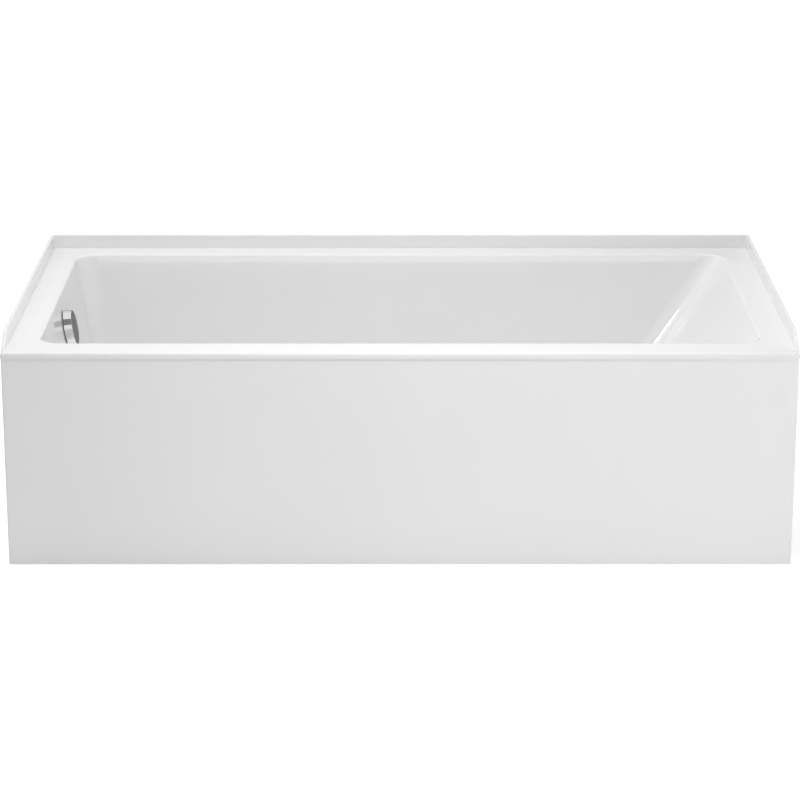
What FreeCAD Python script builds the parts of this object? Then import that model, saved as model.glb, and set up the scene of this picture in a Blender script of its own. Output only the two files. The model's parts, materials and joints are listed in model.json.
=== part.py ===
import FreeCAD, Part
import math
import os

from FreeCAD import Placement, Rotation, Vector

# Alcove bathtub, 60 x 32 x 18 inches, drain at the left end.
# Millimetres. X runs along the tub from the drain end to the backrest, Y runs from the front
# apron to the back wall, Z is up. The origin is on the floor, at the centre of the footprint.

# ---------------------------------------------------------------------------------------
# Driving dimensions
# ---------------------------------------------------------------------------------------

# Overall
TUB_LENGTH = 1524.0
TUB_WIDTH = 813.0
DECK_HEIGHT = 430.0
FLANGE_RISE = 30.0
FLANGE_THICKNESS = 7.3
FLANGE_TOP_ROUND = 2.5
FLANGE_COVE = 3.0
FLANGE_SLOPE_START = 13.0
FLANGE_SLOPE_LENGTH = 49.0
FLANGE_SHOULDER_RADIUS = 24.0

# Formed shell
SHELL_THICKNESS = 6.0
CORNER_RADIUS = 6.0
LIP_DROP = 11.5
LIP_THICKNESS = 5.0
LIP_ROUND = 5.5

# Basin: its opening is measured at the deck, its floor from the room floor
DRAIN_END_DECK = 65.0
BACKREST_END_DECK = 63.0
FRONT_DECK = 69.5
BACK_DECK = 61.5
BASIN_FLOOR_HEIGHT = 82.0
DRAIN_END_DRAFT = 10.0
BACKREST_SLOPE = 35.0
SIDE_DRAFT = 8.0
OPENING_CORNER_RADIUS = 44.0
DRAIN_CORNER_RADIUS = 50.0
BACKREST_CORNER_RADIUS = 50.0
FLOOR_BLEND_RADIUS = 45.0
BASIN_EDGE_ROUND = 6.0

# Apron
APRON_THICKNESS = 5.0
APRON_RECESS = 2.0
APRON_END_INSET = 0.5
APRON_SIDE_RETURN = 46.0
APRON_FOOT_RETURN = 24.0
APRON_CORNER_RADIUS = 4.0

# Timber behind the apron and under the deck
BATTEN_THICKNESS = 18.0
BATTEN_WIDTH = 40.0
STIFFENER_COUNT = 5
BATTEN_END_GAP = 0.5
RIM_RAIL_EDGE_GAP = 8.0
RIM_RAIL_JOINT_GAP = 1.0

# Base board and cradle
BOARD_THICKNESS = 12.0
BOARD_MARGIN = 12.0
BOARD_CORNER_RADIUS = 60.0
BOARD_DRAIN_NOTCH_WIDTH = 96.0
RAIL_COUNT = 3
RAIL_HEIGHT = 22.0
RAIL_WIDTH = 32.0
RAIL_LIP = 14.0
RAIL_SHEET = 1.5
RAIL_LENGTH = 470.0
RAIL_END_MARGIN = 70.0
RAIL_FROM_DRAIN = 95.0
FOOT_SPACING = 380.0
FOOT_PAD_RADIUS = 22.0
FOOT_PAD_HEIGHT = 10.0
FOOT_PAD_CHAMFER = 5.0
FOOT_STUD_RADIUS = 5.0
FOOT_NUT_ACROSS_FLATS = 17.0
FOOT_NUT_HEIGHT = 8.0
STUD_CLEARANCE = 0.5
STUD_SOCKET_DEPTH = 5.0
STUD_TOP_GAP = 5.0
CRADLE_SCREW_RADIUS = 2.0
CRADLE_SCREW_HEAD_RADIUS = 4.0
CRADLE_SCREW_HEAD_HEIGHT = 2.4
CRADLE_SCREW_LENGTH = 10.0
CRADLE_SCREW_SPACING = 200.0
SCREW_CLEARANCE = 0.1

# Waste pipework
PIPE_RADIUS = 19.05
PIPE_WALL = 1.6
PIPE_CLEARANCE = 0.25
FITTING_WALL = 3.6
SOCKET_DEPTH = 18.0
SLIP_NUT_RADIUS = 27.0
SLIP_NUT_LENGTH = 20.0
SLIP_NUT_RIBS = 8
SLIP_NUT_RIB_RADIUS = 2.2
SLIP_NUT_WALL = 3.0
SLIP_WASHER_THICKNESS = 4.0
ARM_BELOW_SHELL = 32.0
DRAIN_FROM_END = 220.0
OUTLET_FLOOR_GAP = 2.0
OUTLET_RADIUS = 24.13
OUTLET_STOP = 7.0
TEE_BODY_STEP = 1.2
TEE_FOOT = 1.5
PIPE_END_GAP = 0.5

# Drain fittings
DRAIN_GASKET_THICKNESS = 3.0
SHOE_FLANGE_RADIUS = 36.0
SHOE_FLANGE_THICKNESS = 6.0
SHOE_BELOW_ARM = 24.0
SHOE_BORE_RADIUS = 21.2
SHOE_BRANCH_LENGTH = 25.0
STRAINER_RADIUS = 36.5
STRAINER_RIM = 3.0
STRAINER_EDGE_ROUND = 1.8
STRAINER_SLEEVE_RADIUS = 21.0
STRAINER_SLEEVE_WALL = 2.5
STRAINER_SLEEVE_LENGTH = 22.0
STRAINER_SPOKES = 4
STRAINER_SPOKE_WIDTH = 3.0
STRAINER_HUB_RADIUS = 7.5
STRAINER_HUB_HEIGHT = 8.0
THREAD_CLEARANCE = 0.2
STOPPER_RADIUS = 32.0
STOPPER_EDGE = 3.0
STOPPER_EDGE_ROUND = 1.35
STOPPER_CROWN = 3.0
STOPPER_GAP = 0.4
SEAL_RADIUS = 18.0
SEAL_WIDTH = 4.0
SEAL_HEIGHT = 5.0
SEAL_CHAMFER = 1.3
DRAIN_HOLE_CLEARANCE = 0.5
STEM_RADIUS = 4.0
STEM_NOSE_CHAMFER = 2.0
STEM_RUNNING_CLEARANCE = 0.05

# Lift linkage in the shoe
LEVER_LIFT_ARM = 13.0
LEVER_SWING = 45.0
LEVER_THICKNESS = 6.0
LEVER_ARM_DEPTH = 3.2
LEVER_EYE_RADIUS = 4.0
LEVER_TIP_RADIUS = 2.5
LEVER_PIN_RADIUS = 1.5
LEVER_PIN_CLEARANCE = 0.05
LEVER_PIVOT_BELOW_ARM = 3.0
LEVER_PIN_SEAT = 2.4
LEVER_FORK_WALL = 1.6
LINK_PIN_RADIUS = 1.2
LINK_PIN_CLEARANCE = 0.35
LIFT_GAP = 0.3

# Overflow control
OVERFLOW_BELOW_DECK = 69.5
WALL_HOLE_RADIUS = 27.0
OVERFLOW_GASKET_THICKNESS = 3.0
HEAD_FLANGE_RADIUS = 35.0
HEAD_FLANGE_THICKNESS = 4.0
HEAD_BODY_RADIUS = 28.0
HEAD_DEPTH = 40.0
BACKPLATE_RADIUS = 33.0
BACKPLATE_THICKNESS = 3.0
KNOB_RADIUS = 36.0
KNOB_THICKNESS = 16.2
KNOB_WALL = 2.5
KNOB_EDGE_ROUND = 0.8
KNOB_STAND_OFF = 2.0
KNOB_HUB_GAP = 1.0
SPINDLE_RADIUS = 3.0
SPINDLE_CLEARANCE = 0.05
DRUM_RADIUS = 5.2
KNOB_TURN = 90.0
DRUM_LENGTH = 7.0
DRUM_BEARING_GAP = 4.4
DRUM_CHEEK = 3.5
DRUM_CHEEK_THICKNESS = 1.8
BACKPLATE_HUB = 9.0
BEARING_WALL = 3.5
BEARING_LENGTH = 7.0
BOSS_RADIUS = 4.5
PORT_INNER = 12.0
PORT_MARGIN = 0.4
PORT_WIDTH = 22.0
BACKPLATE_SCREW_RADIUS = 2.0
BACKPLATE_SCREW_SPACING = 38.0
BACKPLATE_SCREW_LENGTH = 16.0
BACKPLATE_SCREW_HEAD_RADIUS = 3.8
BACKPLATE_SCREW_HEAD_HEIGHT = 2.0
KNOB_NOTCH_WIDTH = 24.0
KNOB_NOTCH_DEPTH = 6.0
CABLE_RADIUS = 2.2
CABLE_WIRE_RADIUS = 0.8
CABLE_WIRE_CLEARANCE = 0.05
WIRE_GAP = 0.3
CABLE_TOP_RUN = 12.0
CABLE_TOP_BEND = 60.0
CABLE_BEND_RADIUS = 60.0
SHEATH_START = 12.0
WIRE_IN_SHEATH = 6.0
WIRE_BORE_SPARE = 3.6
PLUNGER_ENGAGEMENT = 14.0
PLUNGER_BORE_SPARE = 3.0
SHEATH_END_GAP = 4.0

# Construction overlaps: how far a cutter runs past a face, and the tolerance in picking an edge
BEYOND = 20.0
TOUCH = 0.01


def tangent(degrees):
    """Tangent of an angle in degrees."""
    return math.tan(math.radians(degrees))


def cosine(degrees):
    """Cosine of an angle in degrees."""
    return math.cos(math.radians(degrees))


def sine(degrees):
    """Sine of an angle in degrees."""
    return math.sin(math.radians(degrees))


# ---------------------------------------------------------------------------------------
# Levels and places that follow from the driving dimensions
# ---------------------------------------------------------------------------------------

# Shell
HALF_LENGTH = TUB_LENGTH / 2
HALF_WIDTH = TUB_WIDTH / 2
FLANGE_TOP = DECK_HEIGHT + FLANGE_RISE
DECK_UNDERSIDE = DECK_HEIGHT - SHELL_THICKNESS
LIP_BOTTOM = DECK_HEIGHT - LIP_DROP
FLOOR_LEVEL = BASIN_FLOOR_HEIGHT
BASIN_DEPTH = DECK_HEIGHT - FLOOR_LEVEL
SHELL_UNDERSIDE = FLOOR_LEVEL - SHELL_THICKNESS
BASIN_X_LOW = -HALF_LENGTH + DRAIN_END_DECK
BASIN_X_HIGH = HALF_LENGTH - BACKREST_END_DECK
BASIN_Y_LOW = -HALF_WIDTH + FRONT_DECK
BASIN_Y_HIGH = HALF_WIDTH - BACK_DECK
BASIN_MIDDLE_Y = (BASIN_Y_LOW + BASIN_Y_HIGH) / 2
DRAIN_X = -HALF_LENGTH + DRAIN_FROM_END


def flat_start(draft):
    """How far inside the sharp foot of a wall the flat underside of the basin begins."""
    outer_depth = BASIN_DEPTH + SHELL_THICKNESS
    blend = (FLOOR_BLEND_RADIUS + SHELL_THICKNESS) * tangent(45.0 - draft / 2)
    return outer_depth * tangent(draft) - SHELL_THICKNESS / cosine(draft) + blend


# Apron
APRON_HALF_LENGTH = HALF_LENGTH - APRON_END_INSET
APRON_FACE_Y = -HALF_WIDTH + APRON_RECESS
APRON_BACK_Y = APRON_FACE_Y + APRON_THICKNESS

# Base board, cradle and feet
BOARD_UNDERSIDE = SHELL_UNDERSIDE - BOARD_THICKNESS
BOARD_X_LOW = BASIN_X_LOW + flat_start(DRAIN_END_DRAFT) + BOARD_MARGIN
BOARD_X_HIGH = BASIN_X_HIGH - flat_start(BACKREST_SLOPE) - BOARD_MARGIN
BOARD_Y_LOW = BASIN_Y_LOW + flat_start(SIDE_DRAFT) + BOARD_MARGIN
BOARD_Y_HIGH = BASIN_Y_HIGH - flat_start(SIDE_DRAFT) - BOARD_MARGIN
RAIL_UNDERSIDE = BOARD_UNDERSIDE - RAIL_HEIGHT
CRADLE_SCREW_TIP = BOARD_UNDERSIDE - RAIL_SHEET + CRADLE_SCREW_LENGTH
STUD_SOCKET_FLOOR = FOOT_PAD_HEIGHT - STUD_SOCKET_DEPTH
STUD_TOP = BOARD_UNDERSIDE - STUD_TOP_GAP

# Waste pipework
ARM_HEIGHT = SHELL_UNDERSIDE - ARM_BELOW_SHELL
PIPE_BORE = PIPE_RADIUS - PIPE_WALL
SOCKET_OUTER_RADIUS = PIPE_RADIUS + FITTING_WALL
TEE_TOP = ARM_HEIGHT + SOCKET_OUTER_RADIUS + SOCKET_DEPTH
TEE_BOTTOM = ARM_HEIGHT - SOCKET_OUTER_RADIUS - TEE_FOOT
TEE_SPIGOT_END = OUTLET_FLOOR_GAP + OUTLET_STOP
SLIP_NUT_SKIRT = SLIP_NUT_LENGTH - SLIP_WASHER_THICKNESS - SLIP_NUT_WALL
SHOE_SOCKET_END = DRAIN_X - SHOE_BRANCH_LENGTH - SOCKET_DEPTH

# Drain
SHOE_TOP = SHELL_UNDERSIDE - DRAIN_GASKET_THICKNESS
SHOE_BOTTOM = ARM_HEIGHT - SHOE_BELOW_ARM
STRAINER_TOP = FLOOR_LEVEL + STRAINER_RIM
STRAINER_BOTTOM = FLOOR_LEVEL - STRAINER_SLEEVE_LENGTH
DRAIN_HOLE_RADIUS = STRAINER_SLEEVE_RADIUS + DRAIN_HOLE_CLEARANCE
STOPPER_BOTTOM = STRAINER_TOP + STOPPER_GAP
SEAL_BOTTOM = STOPPER_BOTTOM - SEAL_HEIGHT

# Lift linkage: the lever swings evenly either side of level, so its throw follows the knob evenly
LEVER_PIVOT_HEIGHT = ARM_HEIGHT - LEVER_PIVOT_BELOW_ARM
CABLE_TRAVEL = DRUM_RADIUS * math.radians(KNOB_TURN)
LEVER_PUSH_ARM = CABLE_TRAVEL / (2 * sine(LEVER_SWING / 2))
PIVOT_X = DRAIN_X - LEVER_LIFT_ARM * (1 + cosine(LEVER_SWING / 2)) / 2
PIVOT_CHORD = math.sqrt(SHOE_BORE_RADIUS ** 2 - (DRAIN_X - PIVOT_X) ** 2)
LEVER_PIN_HALF_LENGTH = PIVOT_CHORD + LEVER_PIN_SEAT
PLUNGER_HEIGHT = LEVER_PIVOT_HEIGHT - LEVER_PUSH_ARM * cosine(LEVER_SWING / 2)
STEM_BOTTOM = LEVER_PIVOT_HEIGHT - LEVER_LIFT_ARM * sine(LEVER_SWING / 2) + LEVER_TIP_RADIUS + LIFT_GAP
LINK_X = PIVOT_X - LEVER_PUSH_ARM * sine(LEVER_SWING / 2)
SHEATH_END_X = LINK_X - LINK_PIN_RADIUS - SHEATH_END_GAP
PLUNGER_BACK_X = SHEATH_END_X - PLUNGER_ENGAGEMENT
PLUNGER_BORE_X = PLUNGER_BACK_X - PLUNGER_BORE_SPARE

# Overflow control, in its own frame: Z out of the wall, X down the wall, wall face at Z = 0
OVERFLOW_Z = DECK_HEIGHT - OVERFLOW_BELOW_DECK
OVERFLOW_X = BASIN_X_LOW + OVERFLOW_BELOW_DECK * tangent(DRAIN_END_DRAFT)
OVERFLOW_FRAME = Placement(Vector(OVERFLOW_X, BASIN_MIDDLE_Y, OVERFLOW_Z),
                           Rotation(Vector(0, 1, 0), 90.0 - DRAIN_END_DRAFT))
HEAD_FACE = -SHELL_THICKNESS - OVERFLOW_GASKET_THICKNESS
HEAD_BACK = HEAD_FACE - HEAD_DEPTH
HEAD_MIDDLE = (HEAD_FACE + HEAD_BACK) / 2
BEARING_FACE = HEAD_BACK + FITTING_WALL + BEARING_LENGTH
SPINDLE_BACK = HEAD_BACK + FITTING_WALL
KNOB_BACK = KNOB_STAND_OFF
KNOB_HUB_BACK = BACKPLATE_THICKNESS + KNOB_HUB_GAP
KNOB_FRONT = KNOB_BACK + KNOB_THICKNESS
SPINDLE_FRONT = KNOB_FRONT - KNOB_WALL
DRUM_LOW = BEARING_FACE + DRUM_BEARING_GAP
DRUM_HIGH = DRUM_LOW + DRUM_LENGTH
DRUM_MIDDLE = (DRUM_LOW + DRUM_HIGH) / 2
BACKPLATE_SCREW_TIP = BACKPLATE_THICKNESS - BACKPLATE_SCREW_LENGTH
PORT_OUTER = HEAD_BODY_RADIUS - FITTING_WALL - PORT_MARGIN
PIPE_X = OVERFLOW_X + HEAD_MIDDLE * cosine(DRAIN_END_DRAFT)
HEAD_MIDDLE_Z = OVERFLOW_Z + HEAD_MIDDLE * sine(DRAIN_END_DRAFT)
HEAD_OUTLET = HEAD_MIDDLE_Z - HEAD_BODY_RADIUS - SOCKET_DEPTH
TEE_BRANCH_END = PIPE_X + SOCKET_OUTER_RADIUS + SOCKET_DEPTH


# ---------------------------------------------------------------------------------------
# Small shape helpers
# ---------------------------------------------------------------------------------------

def box(x_low, x_high, y_low, y_high, z_low, z_high):
    """Block between two corners."""
    return Part.makeBox(x_high - x_low, y_high - y_low, z_high - z_low, Vector(x_low, y_low, z_low))


def rod(radius, start, end):
    """Solid cylinder between two points."""
    span = end.sub(start)
    return Part.makeCylinder(radius, span.Length, start, span)


def tube(outer, inner, start, end):
    """Pipe between two points."""
    return rod(outer, start, end).cut(rod(inner, start, end))


def at_drain(z):
    """Point on the drain's axis."""
    return Vector(DRAIN_X, BASIN_MIDDLE_Y, z)


def at_pipe(z):
    """Point on the axis of the overflow pipe."""
    return Vector(PIPE_X, BASIN_MIDDLE_Y, z)


def at_arm(x):
    """Point on the axis of the waste arm."""
    return Vector(x, BASIN_MIDDLE_Y, ARM_HEIGHT)


def at_pivot(offset):
    """Point on the lever's pivot, offset along Y from the middle of the tub."""
    return Vector(PIVOT_X, BASIN_MIDDLE_Y + offset, LEVER_PIVOT_HEIGHT)


def along(z, y=0.0):
    """Point in the overflow control's own frame."""
    return Vector(0, y, z)


def on_overflow(shape):
    """Shape moved from the overflow control's own frame to its place on the wall."""
    placed = shape.copy()
    placed.Placement = OVERFLOW_FRAME.multiply(shape.Placement)
    return placed


def on_overflow_point(point):
    """Point moved from the overflow control's own frame to its place on the wall."""
    return OVERFLOW_FRAME.multVec(point)


def rounded_outline(x_low, x_high, y_low, y_high, radii, z):
    """Rounded rectangle at height z; radii go round from the low X, low Y corner."""
    corners = [(x_low, y_low), (x_high, y_low), (x_high, y_high), (x_low, y_high)]
    inward = [(1, 1), (-1, 1), (-1, -1), (1, -1)]
    edges = []
    last = None
    first = None
    for (x, y), (in_x, in_y), radius in zip(corners, inward, radii):
        centre = Vector(x + in_x * radius, y + in_y * radius, z)
        start = centre + Vector(-in_x * radius, 0, 0)
        end = centre + Vector(0, -in_y * radius, 0)
        if in_x * in_y < 0:
            start, end = end, start
        middle = centre + Vector(-in_x, -in_y, 0) * (radius * math.sqrt(0.5))
        if last is None:
            first = start
        else:
            edges.append(Part.LineSegment(last, start).toShape())
        edges.append(Part.Arc(start, middle, end).toShape())
        last = end
    edges.append(Part.LineSegment(last, first).toShape())
    return Part.Wire(edges)


def rounded_block(x_low, x_high, y_low, y_high, radii, z_low, z_high):
    """Rounded rectangle carried up from z_low to z_high."""
    outline = rounded_outline(x_low, x_high, y_low, y_high, radii, z_low)
    return Part.Face(outline).extrude(Vector(0, 0, z_high - z_low))


def edges_at_height(shape, z, inside=None):
    """Edges that lie wholly at height z, and within the half sizes given by inside."""
    found = []
    for edge in shape.Edges:
        bounds = edge.BoundBox
        if abs(bounds.ZMin - z) > TOUCH or abs(bounds.ZMax - z) > TOUCH:
            continue
        if inside and (bounds.XMax > inside[0] or bounds.XMin < -inside[0]
                       or bounds.YMax > inside[1] or bounds.YMin < -inside[1]):
            continue
        found.append(edge)
    return found


# ---------------------------------------------------------------------------------------
# Formed shell: deck, basin, tile flange and front lip
# ---------------------------------------------------------------------------------------

def basin_section(depth, grow):
    """Outline of the basin at a depth below the deck, with its walls moved out by grow."""
    share = depth / BASIN_DEPTH
    opening = OPENING_CORNER_RADIUS
    drain_radius = opening + (DRAIN_CORNER_RADIUS - opening) * share + grow
    backrest_radius = opening + (BACKREST_CORNER_RADIUS - opening) * share + grow
    return rounded_outline(
        BASIN_X_LOW + depth * tangent(DRAIN_END_DRAFT) - grow / cosine(DRAIN_END_DRAFT),
        BASIN_X_HIGH - depth * tangent(BACKREST_SLOPE) + grow / cosine(BACKREST_SLOPE),
        BASIN_Y_LOW + depth * tangent(SIDE_DRAFT) - grow / cosine(SIDE_DRAFT),
        BASIN_Y_HIGH - depth * tangent(SIDE_DRAFT) + grow / cosine(SIDE_DRAFT),
        [drain_radius, backrest_radius, backrest_radius, drain_radius],
        DECK_HEIGHT - depth)


def basin_form(above_deck, grow):
    """Tapered body of the basin, from above the deck down to its floor, with a rounded foot."""
    bottom = BASIN_DEPTH + grow
    body = Part.makeLoft([basin_section(-above_deck, grow), basin_section(bottom, grow)], True, True)
    foot = edges_at_height(body, DECK_HEIGHT - bottom)
    return body.makeFillet(FLOOR_BLEND_RADIUS + grow, foot)


def flange_wall(length):
    """Tile flange along +X, its outer face on Y = 0, with a rounded top and a cove at its foot."""
    inner = -FLANGE_THICKNESS
    top_round = FLANGE_TOP_ROUND
    cove = FLANGE_COVE
    lean = math.sqrt(0.5)

    def at(y, z):
        return Vector(0, y, z)

    corner = [
        (at(-top_round, FLANGE_TOP), at(-top_round * (1 - lean), FLANGE_TOP - top_round * (1 - lean)),
         at(0, FLANGE_TOP - top_round)),
        (at(inner, FLANGE_TOP - top_round),
         at(inner + top_round * (1 - lean), FLANGE_TOP - top_round * (1 - lean)),
         at(inner + top_round, FLANGE_TOP)),
        (at(inner - cove, DECK_HEIGHT), at(inner - cove * (1 - lean), DECK_HEIGHT + cove * (1 - lean)),
         at(inner, DECK_HEIGHT + cove)),
    ]
    foot_outside = at(0, DECK_UNDERSIDE)
    foot_inside = at(inner - cove, DECK_UNDERSIDE)
    edges = [
        Part.Arc(*corner[0]).toShape(),
        Part.LineSegment(corner[0][2], foot_outside).toShape(),
        Part.LineSegment(foot_outside, foot_inside).toShape(),
        Part.LineSegment(foot_inside, corner[2][0]).toShape(),
        Part.Arc(*corner[2]).toShape(),
        Part.LineSegment(corner[2][2], corner[1][0]).toShape(),
        Part.Arc(*corner[1]).toShape(),
        Part.LineSegment(corner[1][2], corner[0][0]).toShape(),
    ]
    return Part.Face(Part.Wire(edges)).extrude(Vector(length, 0, 0))


def flange_front_cut():
    """Tool that slopes both side flanges down to the deck at the front, with a round shoulder."""
    reach = HALF_LENGTH + BEYOND
    front = -HALF_WIDTH - BEYOND
    low_y = -HALF_WIDTH + FLANGE_SLOPE_START
    high_y = low_y + FLANGE_SLOPE_LENGTH
    angle = math.degrees(math.atan2(FLANGE_RISE, FLANGE_SLOPE_LENGTH))
    setback = FLANGE_SHOULDER_RADIUS * tangent(angle / 2)
    above = FLANGE_TOP + BEYOND

    def at(y, z):
        return Vector(-reach, y, z)

    slope_end = at(high_y - setback * cosine(angle), FLANGE_TOP - setback * sine(angle))
    flat_start = at(high_y + setback, FLANGE_TOP)
    centre = at(high_y + setback, FLANGE_TOP - FLANGE_SHOULDER_RADIUS)
    shoulder = centre + Vector(0, -FLANGE_SHOULDER_RADIUS * sine(angle / 2),
                               FLANGE_SHOULDER_RADIUS * cosine(angle / 2))
    points = [at(front, DECK_HEIGHT), at(low_y, DECK_HEIGHT)]
    edges = [
        Part.LineSegment(points[0], points[1]).toShape(),
        Part.LineSegment(points[1], slope_end).toShape(),
        Part.Arc(slope_end, shoulder, flat_start).toShape(),
        Part.LineSegment(flat_start, at(high_y + setback, above)).toShape(),
        Part.LineSegment(at(high_y + setback, above), at(front, above)).toShape(),
        Part.LineSegment(at(front, above), points[0]).toShape(),
    ]
    return Part.Face(Part.Wire(edges)).extrude(Vector(2 * reach, 0, 0))


def tile_flange():
    """The raised flange on the left, back and right sides."""
    back = flange_wall(TUB_LENGTH)
    back.translate(Vector(-HALF_LENGTH, HALF_WIDTH, 0))
    side_length = TUB_WIDTH - FLANGE_SLOPE_START
    right = flange_wall(side_length)
    right.Placement = Placement(Vector(HALF_LENGTH, HALF_WIDTH, 0), Rotation(Vector(0, 0, 1), -90))
    left = flange_wall(side_length)
    left.Placement = Placement(Vector(-HALF_LENGTH, FLANGE_SLOPE_START - HALF_WIDTH, 0),
                               Rotation(Vector(0, 0, 1), 90))
    return back.fuse([left, right]).cut(flange_front_cut())


def tub_shell():
    """Deck with its turned-down front lip, the basin with its two holes, and the tile flange."""
    corners = [CORNER_RADIUS, CORNER_RADIUS, CORNER_RADIUS, CORNER_RADIUS]
    deck = rounded_block(-HALF_LENGTH, HALF_LENGTH, -HALF_WIDTH, HALF_WIDTH, corners,
                         LIP_BOTTOM, DECK_HEIGHT)
    front_edge = [edge for edge in edges_at_height(deck, DECK_HEIGHT)
                  if edge.BoundBox.YMax < -HALF_WIDTH + TOUCH]
    deck = deck.makeFillet(LIP_ROUND, front_edge)
    under_deck = box(-HALF_LENGTH - BEYOND, HALF_LENGTH + BEYOND,
                     -HALF_WIDTH + LIP_THICKNESS, HALF_WIDTH + BEYOND,
                     LIP_BOTTOM - BEYOND, DECK_UNDERSIDE)
    basin_outside = basin_form(-SHELL_THICKNESS / 2, SHELL_THICKNESS)
    shell = deck.cut(under_deck).fuse([tile_flange(), basin_outside])
    shell = shell.cut(basin_form(BEYOND, 0.0)).removeSplitter()
    basin_edge = edges_at_height(shell, DECK_HEIGHT,
                                 (HALF_LENGTH - FLANGE_THICKNESS - FLANGE_COVE - TOUCH,
                                  HALF_WIDTH - FLANGE_THICKNESS - FLANGE_COVE - TOUCH))
    shell = shell.makeFillet(BASIN_EDGE_ROUND, basin_edge)
    drain_hole = rod(DRAIN_HOLE_RADIUS, at_drain(SHELL_UNDERSIDE - BEYOND), at_drain(FLOOR_LEVEL + BEYOND))
    overflow_hole = on_overflow(rod(WALL_HOLE_RADIUS, along(-BEYOND), along(BEYOND)))
    return shell.cut(drain_hole).cut(overflow_hole)


# ---------------------------------------------------------------------------------------
# Apron, and the timber behind it and under the deck
# ---------------------------------------------------------------------------------------

def front_apron():
    """Flat front panel with returned ends and a returned foot, its top edge under the lip."""
    outside = box(-APRON_HALF_LENGTH, APRON_HALF_LENGTH, APRON_FACE_Y, APRON_FACE_Y + APRON_SIDE_RETURN,
                  0, LIP_BOTTOM)
    upright = [edge for edge in outside.Edges
               if edge.BoundBox.ZLength > LIP_BOTTOM / 2 and edge.BoundBox.YMax < APRON_FACE_Y + TOUCH]
    outside = outside.makeFillet(APRON_CORNER_RADIUS, upright)
    inside_end = APRON_HALF_LENGTH - APRON_THICKNESS
    inside = box(-inside_end, inside_end, APRON_BACK_Y, HALF_WIDTH, APRON_THICKNESS, DECK_HEIGHT)
    foot_trim = box(-inside_end, inside_end, APRON_FACE_Y + APRON_FOOT_RETURN, HALF_WIDTH,
                    -BEYOND, APRON_THICKNESS + BEYOND)
    return outside.cut(inside).cut(foot_trim)


def apron_batten(z_low, z_high):
    """Lengthwise timber glued to the back of the apron."""
    end = APRON_HALF_LENGTH - APRON_THICKNESS - BATTEN_END_GAP
    return box(-end, end, APRON_BACK_Y, APRON_BACK_Y + BATTEN_THICKNESS, z_low, z_high)


def apron_stiffeners():
    """Upright timbers between the two apron battens."""
    end = APRON_HALF_LENGTH - APRON_THICKNESS - BATTEN_END_GAP - BATTEN_WIDTH / 2
    step = 2 * end / (STIFFENER_COUNT - 1)
    uprights = []
    for index in range(STIFFENER_COUNT):
        middle = -end + index * step
        uprights.append(box(middle - BATTEN_WIDTH / 2, middle + BATTEN_WIDTH / 2,
                            APRON_BACK_Y, APRON_BACK_Y + BATTEN_THICKNESS,
                            APRON_THICKNESS + BATTEN_WIDTH, DECK_UNDERSIDE - BATTEN_WIDTH))
    return Part.makeCompound(uprights)


def rim_rail(x_low, x_high, y_low, y_high):
    """Timber stiffener glued up under the deck."""
    return box(x_low, x_high, y_low, y_high, DECK_UNDERSIDE - BATTEN_THICKNESS, DECK_UNDERSIDE)


# ---------------------------------------------------------------------------------------
# Base board, cradle rails and levelling feet
# ---------------------------------------------------------------------------------------

def base_board():
    """Board bonded under the basin floor, notched round the drain, drilled for the screws."""
    radii = [BOARD_CORNER_RADIUS, BOARD_CORNER_RADIUS, BOARD_CORNER_RADIUS, BOARD_CORNER_RADIUS]
    board = rounded_block(BOARD_X_LOW, BOARD_X_HIGH, BOARD_Y_LOW, BOARD_Y_HIGH, radii,
                          BOARD_UNDERSIDE, SHELL_UNDERSIDE)
    half = BOARD_DRAIN_NOTCH_WIDTH / 2
    notch = box(BOARD_X_LOW - BEYOND, DRAIN_X, BASIN_MIDDLE_Y - half, BASIN_MIDDLE_Y + half,
                BOARD_UNDERSIDE - BEYOND, SHELL_UNDERSIDE + BEYOND)
    notch_end = rod(half, at_drain(BOARD_UNDERSIDE - BEYOND), at_drain(SHELL_UNDERSIDE + BEYOND))
    board = board.cut(notch.fuse(notch_end))
    pilots = [rod(CRADLE_SCREW_RADIUS + SCREW_CLEARANCE, Vector(x, y, BOARD_UNDERSIDE - BEYOND),
                  Vector(x, y, CRADLE_SCREW_TIP + SCREW_CLEARANCE))
              for x, y in cradle_screw_places()]
    return board.cut(Part.makeCompound(pilots))


def cradle_rail_places():
    """X of the middle of each cross rail."""
    first = DRAIN_X + RAIL_FROM_DRAIN
    step = (BOARD_X_HIGH - RAIL_END_MARGIN - first) / (RAIL_COUNT - 1)
    return [first + index * step for index in range(RAIL_COUNT)]


def cradle_screw_places():
    """X and Y of each screw that holds a cross rail to the board."""
    across = RAIL_WIDTH / 2 + RAIL_LIP / 2
    return [(rail + side * across, BASIN_MIDDLE_Y + end * CRADLE_SCREW_SPACING / 2)
            for rail in cradle_rail_places() for side in (-1, 1) for end in (-1, 1)]


def foot_places():
    """X and Y of each levelling foot."""
    return [(rail, BASIN_MIDDLE_Y + side * FOOT_SPACING / 2)
            for rail in cradle_rail_places() for side in (-1, 1)]


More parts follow.
